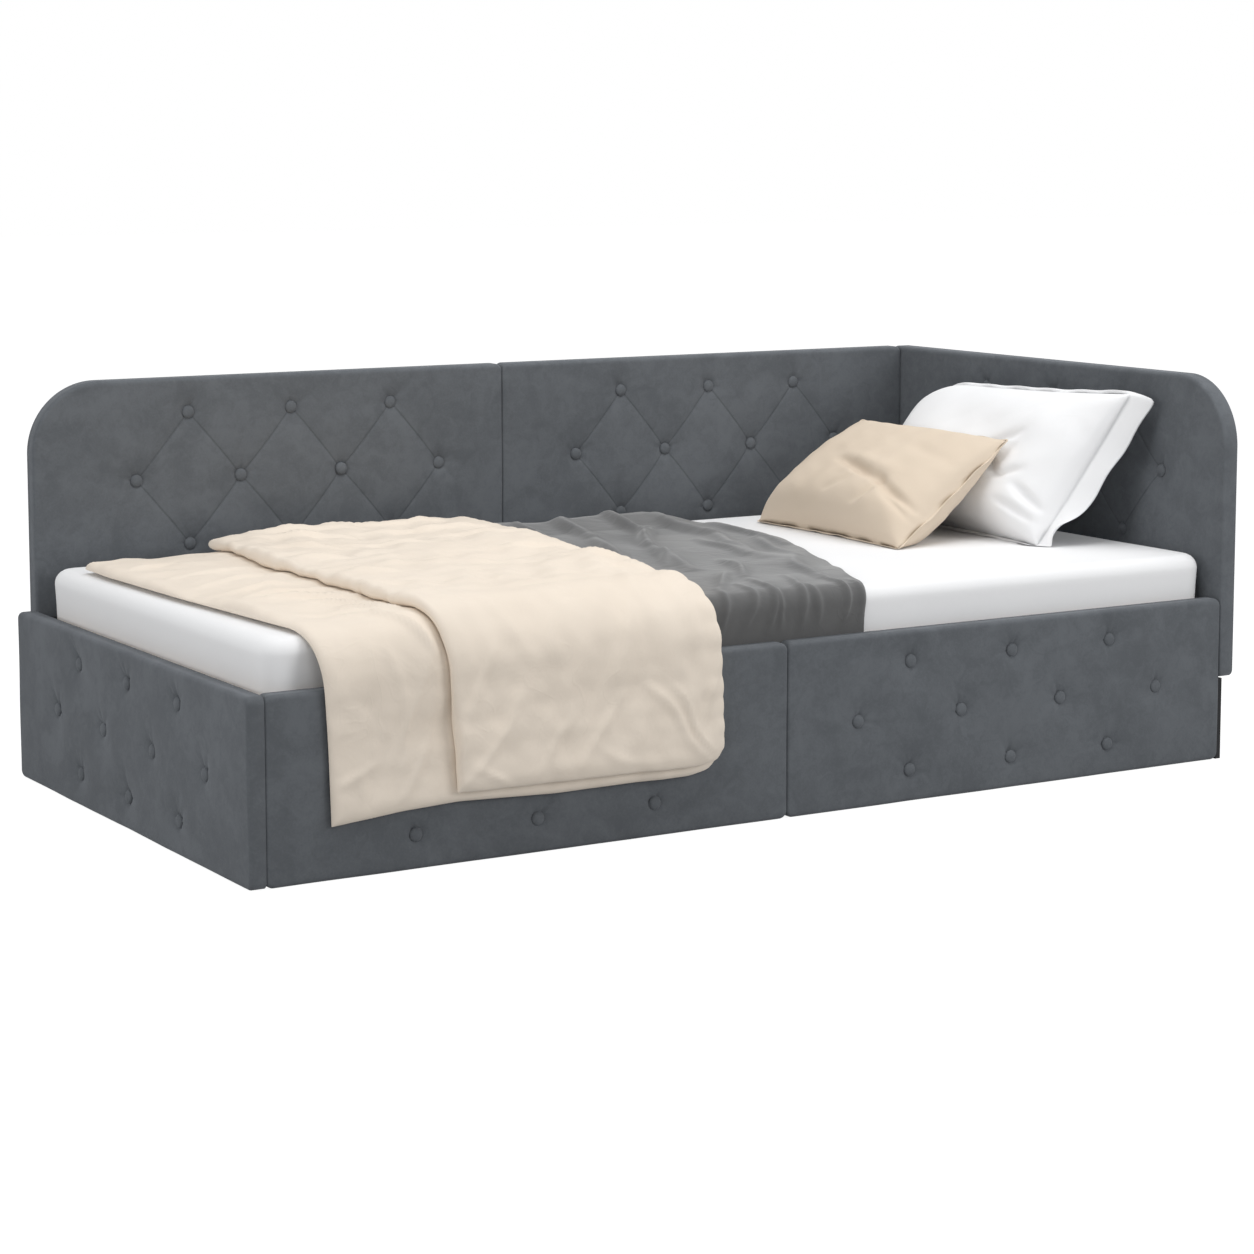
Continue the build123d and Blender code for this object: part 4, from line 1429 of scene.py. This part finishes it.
@dataclass
class Throw:
    """Grey throw across the bed, tucked in behind the front rail, with a slanting edge and soft folds.

    Folds lie on the mattress and pleats hang over its edge, from the duvet's head edge on. Their starts and
    ends are a place and the run from there, and an end has its place with the sign turned.
    """

    thickness: float = 2.4
    start: float = 727.0
    back: float = 996.0
    tuck: float = 298.0
    clearance: float = 1.0
    fullness: float = 3.0
    wave_height: float = 2.4
    wave_length: float = 220.0
    rear_rise: float = 14.0
    fold_start: tuple[float, float] = (855.0, 50.0)
    fold_end: tuple[float, float] = (-6.0, 60.0)
    pleat_start: tuple[float, float] = (850.0, 40.0)
    pleat_end: tuple[float, float] = (-97.0, 30.0)
    rear_start: tuple[float, float] = (800.0, 110.0)
    rear_end: tuple[float, float] = (-1400.0, 90.0)
    fold_wander: float = 5.0
    pleat_wander: float = 4.0
    cell: float = 5.0
    rim: Sequence[float] = (0.0, 2.0, 5.0)

    def __post_init__(self) -> None:
        """Set the drape round the mattress edge and down behind the rail, and the edge at the head end."""
        self.path = DrapePath(level=401.0, bend_start=66.0, drop=33.6, bend_end=368.0, squareness=2.2)
        rear = ((-930, 1390), (-780, 1402), (-656, 1412))
        slant = ((-432, 1365), (-132, 1252), (20, 1192), (130, 1186))
        self.head_edge = SmoothLine(*rear, *slant, blur=0.1)

    def _folds(self, x: Array, t: Array) -> Array:
        """Height of the folds, none under the duvet or behind the rail.

        Args:
            x: places along the bed.
            t: distances along the drape.

        Returns:
            The heights over the drape.
        """
        free = ramped(x, *self.fold_start) * ramped(-t, *self.fold_end)
        tight = ramped(x, *self.pleat_start) * ramped(-t, *self.pleat_end)
        rear = ramped(-t, *self.rear_start) * ramped(-x, *self.rear_end)
        waves = ripple(x, t, self.wave_length, seed=71, slant=0.4, spread=1.6)
        height = self.fullness + self.wave_height * waves
        height += wrinkles(x, t, THROW_FOLDS, self.fold_wander) + self.rear_rise * rear
        return np.maximum(height, 0.0) * free + wrinkles(x, t, THROW_PLEATS, self.pleat_wander) * tight

    @staticmethod
    def _flat_size(grid: Array) -> tuple[float, float, float]:
        """Measure the sheet as if it lay flat.

        Args:
            grid: its middle surface, rows along the bed.

        Returns:
            Its widest row, its longest column and its area, in metres.
        """
        across, along = np.diff(grid, axis=1), np.diff(grid, axis=0)
        wide = float(np.linalg.norm(across, axis=-1).sum(axis=1).max()) * MM
        long = float(np.linalg.norm(along, axis=-1).sum(axis=0).max()) * MM
        cells = np.cross(across[:-1], along[:, :-1])
        return wide, long, float(np.linalg.norm(cells, axis=-1).sum()) * MM * MM

    def build(self, cloth: bpy.types.Material) -> bpy.types.Object:
        """Make the throw as one sheet with a small thickness.

        Args:
            cloth: its finish.

        Returns:
            The new piece.
        """
        low, hem = self.path.bend_start - self.back, self.path.down(self.tuck)
        t_line = low + spaced(hem - low, self.cell, self.rim)
        last = self.head_edge(t_line) + 4.0 * np.sin(t_line / 47.0) + 2.0 * np.sin(t_line / 21.0 + 1.0)
        s = spaced(float(np.mean(last)) - self.start, self.cell, self.rim)
        t = np.repeat(t_line[:, None], len(s), axis=1)
        x = self.start + (last - self.start)[:, None] * (s / s[-1])[None, :]
        y, z, out_y, out_z = self.path.at(t)
        foot, front = bed_frame()
        outward = np.stack([np.zeros_like(x), out_y, out_z], axis=-1)
        offset = self._folds(x, t) + self.clearance
        grid = np.stack([x + foot, y + front, z], axis=-1) + outward * offset[..., None]
        half = outward * self.thickness / 2
        points = np.vstack([(grid + half).reshape(-1, 3), (grid - half).reshape(-1, 3)])
        loop, count = rim_of(*t.shape), t.size
        faces = grid_faces(*t.shape, flip=True) + grid_faces(*t.shape, first=count)
        piece = mesh_piece("throw_cloth", points, faces + ring_faces(loop, loop + count))
        return dress(piece, cloth, Body.MATTRESS, "throw")


@dataclass(frozen=True)
class Lean:
    """Pose of a pillow that stands on the mattress and leans back.

    The foot is the place of its lower seam along the bed, the middle its place across it. The tapers are the
    shares by which its lower edge is drawn in at the near and the far end. Where it would sink into the
    mattress, at the height of the floor, or into the wall, only the give is left. The spill moves its front
    forward where it rests on the mattress.
    """

    foot: float
    middle: float
    slope_low: float
    slope_high: float
    taper_near: float = 0.0
    taper_far: float = 0.0
    swing: float = 0.0
    tilt: float = 0.0
    floor: float = 400.9
    wall: float = 2009.0
    give: float = 0.03
    spill: float = 0.45


@dataclass
class LeaningPillow:
    """Stuffed pillow in a case: two faces sewn at an edge, blown up by a cloth simulation and leaned back.

    In its own axes it lies flat, a along its length towards the front of the bed and b up its height. The
    flange is the width of its border at the low, near, high and far edge. Each part of its softness is a
    height and a wave length.
    """

    name: str
    length: float
    height: float
    front_swell: float
    back_swell: float
    flange: tuple[float, float, float, float]
    lean: Lean
    body: Body
    slot: str
    node: str
    fill: float
    seed: int
    cell: float
    dents: Sequence[Stroke]
    sag: float = 0.1
    sunk: float = 0.2
    curl: float = 0.0
    curl_place: float = -0.78
    curl_reach: float = 0.22
    bent: float = 0.0
    droop: float = 0.0
    waist_along: float = 0.03
    waist_up: float = 0.04
    squareness: tuple[float, float] = (3.2, 2.6)
    softness: Sequence[tuple[float, float]] = ((1.3, 150.0), (0.6, 60.0))
    dent_wander: float = 0.04
    border_half: float = 1.3
    border_rings: Sequence[float] = (0.3, 0.65, 1.0)
    reach: float = 16.0
    pressure: float = 4.0
    frames: int = 20

    def _flat_form(self) -> tuple[Array, Faces, tuple[int, int]]:
        """Make two full faces that meet at the seam, lying flat.

        Returns:
            Points, faces, and the rows and columns of each face.
        """
        columns, rows = int(self.length / self.cell) + 1, int(self.height / self.cell) + 1
        a = np.linspace(-1, 1, columns)[None, :].repeat(rows, axis=0)
        b = np.linspace(-1, 1, rows)[:, None].repeat(columns, axis=1)
        square_a, square_b = self.squareness
        room = np.maximum((1 - np.abs(a) ** square_a) * (1 - np.abs(b) ** square_b), 0)
        crown = np.sqrt(room) * (1 - self.sunk * b)
        x = a * (1 - self.waist_along * (1 - b**2)) * self.length / 2
        y = b * (1 - self.waist_up * (1 - a**2)) * self.height / 2
        swells = (self.front_swell, -self.back_swell)
        grids = [np.stack([x, y, swell * crown / crown.max()], axis=-1).reshape(-1, 3) for swell in swells]
        return *joined_faces(rows, columns, np.vstack(grids)), (rows, columns)

    def _inflate(self, points: Array, faces: Faces, rim: Array) -> Array:
        """Blow the form up with the cloth simulation.

        Args:
            points: the flat form.
            faces: its faces.
            rim: points of the seam, which stay where they are.

        Returns:
            The blown-up points, each within a set reach of where it began.
        """
        blown = mesh_piece(f"{self.name}_blown", points, faces)
        seam = blown.vertex_groups.new(name="seam")
        seam.add(rim.tolist(), 1.0, "REPLACE")
        cloth = blown.modifiers.new("cloth", "CLOTH")
        cloth.settings.effector_weights.gravity = 0.0
        stuff = {
            "use_pressure": True,
            "uniform_pressure_force": self.pressure,
            "mass": 0.25,
            "quality": 6,
            "tension_stiffness": 30.0,
            "compression_stiffness": 10.0,
            "shear_stiffness": 8.0,
            "bending_stiffness": 0.3,
            "vertex_group_mass": seam.name,
        }
        for key, value in stuff.items():
            setattr(cloth.settings, key, value)
        cloth.point_cache.frame_start, cloth.point_cache.frame_end = 1, self.frames
        scene = bpy.context.scene
        for step in range(1, self.frames + 1):
            scene.frame_set(step)
        mesh = plain_mesh(blown)
        moved = np.zeros(len(mesh.vertices) * 3, np.float32)
        mesh.vertices.foreach_get("co", moved)
        bpy.data.objects.remove(blown)
        bpy.data.meshes.remove(mesh)
        scene.frame_set(1)
        move = moved.reshape(-1, 3).astype(float) / MM - points
        size = np.linalg.norm(move, axis=1, keepdims=True)
        LOG.info("%s: blown up by up to %.0f mm", self.name, float(size.max()))
        return points + move * np.minimum(1.0, self.reach / np.maximum(size, 1e-6))

    def _stuffed(self, points: Array) -> Array:
        """Let the stuffing sink, press the dents in and let the far upper corner droop.

        Args:
            points: the blown-up form.

        Returns:
            The moved points.
        """
        x, y, z = points.T.copy()
        a, b = 2 * x / self.length, 2 * y / self.height
        full = z / self.front_swell
        y = y - self.sag * self.height * np.maximum(full, 0) * np.clip(1 - b**2, 0, 1)
        y = y - self.droop * ramped(-a, 0.5, 0.5) ** 2 * ramped(b, -0.3, 1.3) ** 2
        parts = enumerate(self.softness, start=self.seed)
        soft = sum(size * ripple(x, y, wave, seed) for seed, (size, wave) in parts)
        z = z + np.sign(z) * soft * np.clip(np.abs(full) * 3, 0, 1)
        z = z - wrinkles(a, b, self.dents, self.dent_wander) * np.clip(full * 2.5, 0, 1)
        return np.stack([x, y, z], axis=-1)

    def _flanged(self, points: Array, faces: Faces, size: tuple[int, int]) -> tuple[Array, Faces]:
        """Add the flat border of the case outside the seam, with its own thickness and soft waves.

        Args:
            points: the stuffed form.
            faces: its faces.
            size: rows and columns of each of its two faces.

        Returns:
            Points and faces with the border.
        """
        rows, columns = size
        loop = rim_of(rows, columns)
        seam, count = points[loop], len(loop)
        low, near, high, far = self.flange
        column, row, bent = loop % columns, loop // columns, math.radians(self.bent)
        back = np.where(column == columns - 1, near * math.sin(bent), 0.0)
        out_a = np.where(column == columns - 1, near * math.cos(bent), 0.0) - np.where(column == 0, far, 0.0)
        out_b = np.where(row == rows - 1, high, 0.0) - np.where(row == 0, low, 0.0)
        run, b = np.arange(count), 2 * seam[:, 1] / self.height
        curl = np.exp(-(((b - self.curl_place) / self.curl_reach) ** 2))
        roll = self.curl * curl * (column > columns * 0.9)
        waves = 2.4 * np.sin(run * 0.43 + self.seed) + 1.6 * np.sin(run * 0.17)
        blocks, made, outer = [points], list(faces), []
        for sign in (1, -1):
            before = loop
            for share in self.border_rings:
                rise = share * waves + roll * share**2 - back * share + sign * self.border_half
                after = np.arange(count) + sum(len(block) for block in blocks)
                blocks.append(seam + np.stack([out_a * share, out_b * share, rise], axis=-1))
                made += ring_faces(after, before) if sign > 0 else ring_faces(before, after)
                before = after
            outer.append(before)
        return np.vstack(blocks), made + ring_faces(outer[1], outer[0])

    def _leaned(self, points: Array) -> Array:
        """Bend the flat form into its pose, flat where it rests on the mattress and the headboard.

        Args:
            points: the form in its own axes.

        Returns:
            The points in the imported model's frame.
        """
        lean = self.lean
        along = np.linspace(-0.5, 1.5, 401)
        slope = np.radians(lean.slope_low + (lean.slope_high - lean.slope_low) * np.clip(along, 0, 1))
        step = (along[1] - along[0]) * self.height
        share = points[:, 1] / self.height + 0.5
        angle = np.interp(share, along, slope)
        ways = [np.concatenate([[0.0], np.cumsum(way[:-1] * step)]) for way in (np.cos(slope), np.sin(slope))]
        run, climb = (np.interp(share, along, way - np.interp(0.0, along, way)) for way in ways)
        taper = np.where(points[:, 0] > 0, lean.taper_near, lean.taper_far) * np.clip(1 - share, 0, 1.1)
        y = lean.middle - points[:, 0] * (1 - taper)
        x = lean.foot + run - np.sin(angle) * points[:, 2] + lean.swing * (y - lean.middle)
        z = lean.floor + climb + np.cos(angle) * points[:, 2] + lean.tilt * (lean.middle - y) * share
        under = np.maximum(lean.floor - z, 0)
        z = np.maximum(z, lean.floor) + lean.give * under
        x = x - lean.spill * under * (points[:, 2] > 0)
        x = np.minimum(x, lean.wall) - lean.give * np.maximum(x - lean.wall, 0)
        foot, front = bed_frame()
        return np.stack([x + foot, y + front, z], axis=-1)

    def build(self, cloth: bpy.types.Material) -> bpy.types.Object:
        """Make the pillow: blow it up, stuff it, add its border, lean it back and smooth it once.

        Args:
            cloth: its finish.

        Returns:
            The new piece.
        """
        points, faces, size = self._flat_form()
        points = self._inflate(points, faces, rim_of(*size))
        points, faces = self._flanged(self._stuffed(points), faces, size)
        piece = mesh_piece(self.name, self._leaned(points), faces)
        smooth = piece.modifiers.new("smooth", "SUBSURF")
        smooth.levels = smooth.render_levels = 1
        mesh = plain_mesh(piece)
        piece.modifiers.clear()
        piece.data = mesh
        return dress(piece, cloth, self.body, self.node)


@dataclass
class Carcass:
    """Boards, slats, ledges, beam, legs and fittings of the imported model, which keep their own shapes."""

    finishes: dict[str, bpy.types.Material]

    def dress(self) -> None:
        """Give every node that stays in view the finish of its slot."""
        for row in frame["record"]["subparts"]:
            finish = self.finishes.get(row["material_slot"])
            if finish is None:
                continue
            node = frame["nodes"][row["node"]]
            node.data.materials.clear()
            node.data.materials.append(finish)
            LOG.info("%s: %s", row["node"], finish.name)


@dataclass(frozen=True)
class SoftLamp:
    """Soft rectangular lamp that looks at a point; places and sizes in metres, power in watts."""

    name: str
    place: Place
    target: Place
    size: tuple[float, float]
    power: float

    def build(self) -> None:
        """Add the lamp."""
        data = bpy.data.lights.new(self.name, "AREA")
        data.shape = "RECTANGLE"
        data.size, data.size_y = self.size
        data.energy = self.power
        lamp = add_object(self.name, data)
        lamp.location = self.place
        lamp.rotation_mode = "QUATERNION"
        lamp.rotation_quaternion = (Vector(self.target) - Vector(self.place)).to_track_quat("-Z", "Y")


@dataclass
class Studio:
    """Pale floor, soft lights, white surround and the camera, with places in metres and angles in degrees."""

    camera_place: Place = (-2.9920, -4.92285, 1.2015)
    azimuth: float = -31.1102
    elevation: float = 6.8261
    lens: float = 87.94
    sensor: float = 36.0
    sight: float = 100.0
    shift: float = -0.1
    sky: Colour = (0.97, 0.985, 1.0)
    sky_strength: float = 0.44
    floor_lit: float = 0.5
    floor_shadow: float = 0.24
    floor_glow: float = 0.93
    floor_half: float = 30000.0
    floor_drop: float = 0.5
    lamps: Sequence[SoftLamp] = (
        SoftLamp("key_light", (-1.7, -1.6, 4.2), (0.1, 0.0, 0.3), (1.6, 1.6), 38.0),
        SoftLamp("top_light", (0.9, -0.2, 3.6), (0.4, 0.1, 0.3), (3.0, 2.4), 60.0),
        SoftLamp("front_light", (2.6, -4.8, 2.2), (0.5, 0.0, 0.45), (2.2, 2.0), 86.0),
        SoftLamp("foot_light", (-5.0, -0.6, 1.6), (-0.6, 0.0, 0.35), (2.2, 1.6), 52.0),
    )

    def build(self) -> None:
        """Make everything round the object."""
        self._floor()
        self._world()
        for lamp in self.lamps:
            lamp.build()
        self._camera()
        bpy.context.scene.view_settings.view_transform = "Standard"

    def _floor(self) -> None:
        """Large floor that looks white to the camera and keeps a faint shadow."""
        shader = Shader("floor_white")
        lit, faint = (
            shader.node("ShaderNodeBsdfDiffuse", {}, {"Color": opaque(WHITE, share)}).outputs[0]
            for share in (self.floor_lit, self.floor_shadow)
        )
        glow = shader.node("ShaderNodeEmission", {}, {"Color": opaque(WHITE), "Strength": self.floor_glow})
        both = shader.node("ShaderNodeAddShader", {}, {0: faint, 1: glow.outputs[0]})
        mixed = shader.node("ShaderNodeMixShader", {}, {0: direct_rays(shader), 1: lit, 2: both.outputs[0]})
        shader.node("ShaderNodeOutputMaterial", {}, {"Surface": mixed.outputs[0]})
        corners = ((-1, -1), (1, -1), (1, 1), (-1, 1))
        points = np.array([(x * self.floor_half, y * self.floor_half, -self.floor_drop) for x, y in corners])
        floor = mesh_piece("floor", points, [(0, 1, 2, 3)])
        floor.data.materials.append(shader.material)

    def _world(self) -> None:
        """White surround for the camera, softer light for everything else."""
        world = bpy.data.worlds.new("surround")
        bpy.context.scene.world = world
        world.use_nodes = True
        nodes = Nodes(world.node_tree)
        lit, seen = (
            nodes.node("ShaderNodeBackground", {}, {"Color": opaque(colour), "Strength": strength}).outputs[0]
            for colour, strength in ((self.sky, self.sky_strength), (WHITE, 1.0))
        )
        mixed = nodes.node("ShaderNodeMixShader", {}, {0: direct_rays(nodes), 1: lit, 2: seen})
        nodes.node("ShaderNodeOutputWorld", {}, {0: mixed.outputs[0]})

    def _camera(self) -> None:
        """Add the camera."""
        data = bpy.data.cameras.new("camera")
        data.sensor_width = self.sensor
        data.lens = self.lens
        data.shift_y = self.shift
        data.clip_end = self.sight
        a, e = math.radians(self.azimuth), math.radians(self.elevation)
        back = Vector((math.sin(a) * math.cos(e), -math.cos(a) * math.cos(e), math.sin(e)))
        camera = add_object("camera", data)
        camera.location = self.camera_place
        camera.rotation_mode = "QUATERNION"
        camera.rotation_quaternion = (-back).to_track_quat("-Z", "Y")
        bpy.context.scene.camera = camera


def panels() -> list[TuftedPanel]:
    """Set out the velvet panels.

    Returns:
        The bed's six panels.
    """
    low = {"pad": 15.0, "row_pitch": 100.0, "middle_rise": 157.5}
    low |= {"tuft_depth": 10.5, "spread": 0.42, "pull": 2.4}
    tall = {"pad": 18.0, "row_pitch": 127.5, "middle_rise": 545.5, "sewn": True}
    rounded_foot = {"shift": 31.0, "corner_radii": (14.0, 14.0, 14.0, 135.0)}
    rounded_head = {"shift": 17.0, "corner_radii": (14.0, 14.0, 135.0, 14.0)}
    front, foot = Facing.FRONT, Facing.FOOT
    return [
        TuftedPanel("footboard", foot, pitch=224.0, seed=1, **low),
        TuftedPanel("front_rail_foot", front, pitch=231.0, seed=2, **low),
        TuftedPanel("front_rail_head", front, pitch=231.0, seed=3, **low),
        TuftedPanel("backrest_foot", front, pitch=216.5, seed=4, **tall, **rounded_foot),
        TuftedPanel("backrest_head", front, pitch=216.5, seed=5, **tall),
        TuftedPanel("headboard", foot, pitch=224.0, seed=6, **tall, **rounded_head),
    ]


def white_pillow() -> LeaningPillow:
    """Set out the white pillow with a wide border at its near end.

    Returns:
        The pillow, leaning on the headboard.
    """
    lean = Lean(1791.0, 557.0, 52.0, 65.0, taper_near=0.2, taper_far=0.05, swing=0.033, tilt=0.03)
    return LeaningPillow(
        "pillow_white",
        length=690.0,
        height=336.0,
        front_swell=105.0,
        back_swell=36.0,
        flange=(10.0, 50.0, 7.0, 10.0),
        lean=lean,
        body=Body.PILLOW,
        slot="pillow_cotton",
        node="pillow",
        fill=0.75,
        seed=11,
        cell=7.0,
        dents=PILLOW_DENTS,
        curl=44.0,
        bent=45.0,
        droop=75.0,
    )


def beige_cushion() -> LeaningPillow:
    """Set out the beige cushion with a narrow sewn edge.

    Returns:
        The cushion, leaning on the pillow.
    """
    return LeaningPillow(
        "cushion_beige",
        length=500.0,
        height=330.0,
        front_swell=86.0,
        back_swell=74.0,
        flange=(4.0, 4.0, 4.0, 4.0),
        lean=Lean(1524.0, 633.0, 34.0, 40.0, swing=0.01, wall=1900.0),
        body=Body.CUSHION,
        slot="cushion_cotton",
        node="cushion",
        fill=0.65,
        seed=12,
        cell=6.0,
        dents=CUSHION_DENTS,
    )


def carcass_finishes() -> dict[str, bpy.types.Material]:
    """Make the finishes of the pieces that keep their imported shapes.

    Returns:
        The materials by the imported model's names for them.
    """
    along_y, along_x = (1.0, 0.06, 1.0), (0.06, 1.0, 1.0)
    finishes = {
        "panel_wood": Timber("sanded_plywood", (0.62, 0.46, 0.3), (0.46, 0.31, 0.18), along_x),
        "slat_wood": Timber("pale_softwood", (0.68, 0.5, 0.31), (0.5, 0.33, 0.18), along_y),
        "lining": Lining("black_lining", (0.016, 0.016, 0.018)),
        "lined_board": Lining("black_board_lining", (0.014, 0.014, 0.016)),
        "black_steel": CoatedSteel("black_powder_coat", (0.02, 0.02, 0.022), metallic=0.0, roughness=0.5),
        "zinc_steel": CoatedSteel("zinc_plate", (0.55, 0.56, 0.58), metallic=1.0, roughness=0.35),
        "webbing": WovenCloth("white_ribbon", (0.7, 0.68, 0.64), (0.6, 0.58, 0.54), threads=400.0),
    }
    return {slot: finish.material() for slot, finish in finishes.items()}


def main() -> None:
    """Build every piece in order."""
    logging.basicConfig(level=logging.INFO, format="%(message)s")
    Studio().build()
    white, off_white = (0.86, 0.86, 0.865), (0.82, 0.82, 0.83)
    grey, dark_grey = (0.105, 0.105, 0.105), (0.085, 0.085, 0.085)
    velvet = Velvet("slate_velvet", dark=(0.098, 0.106, 0.116), light=(0.127, 0.137, 0.149)).material()
    knit = WovenCloth("white_knit", white, off_white, threads=500.0, creasing=0.03, crease_scale=6.0)
    beige = WovenCloth("beige_cotton", (0.80, 0.71, 0.608), (0.745, 0.65, 0.545), creasing=0.24)
    case = WovenCloth("beige_case", (0.68, 0.575, 0.46), (0.63, 0.525, 0.41), creasing=0.14)
    cotton = WovenCloth("white_cotton", white, off_white, creasing=0.12)
    soft_cloth = WovenCloth("grey_soft_cloth", grey, dark_grey, threads=1100.0, creasing=0.3, sheen=0.5)
    Carcass(carcass_finishes()).dress()
    stamp = ButtonTree()
    for panel in panels():
        panel.build_cover(velvet)
        panel.build_buttons(velvet, stamp)
    Mattress().build(knit.material())
    Throw().build(soft_cloth.material())
    Duvet().build(beige.material())
    white_pillow().build(cotton.material())
    beige_cushion().build(case.material())


if __name__ == "__main__":
    main()
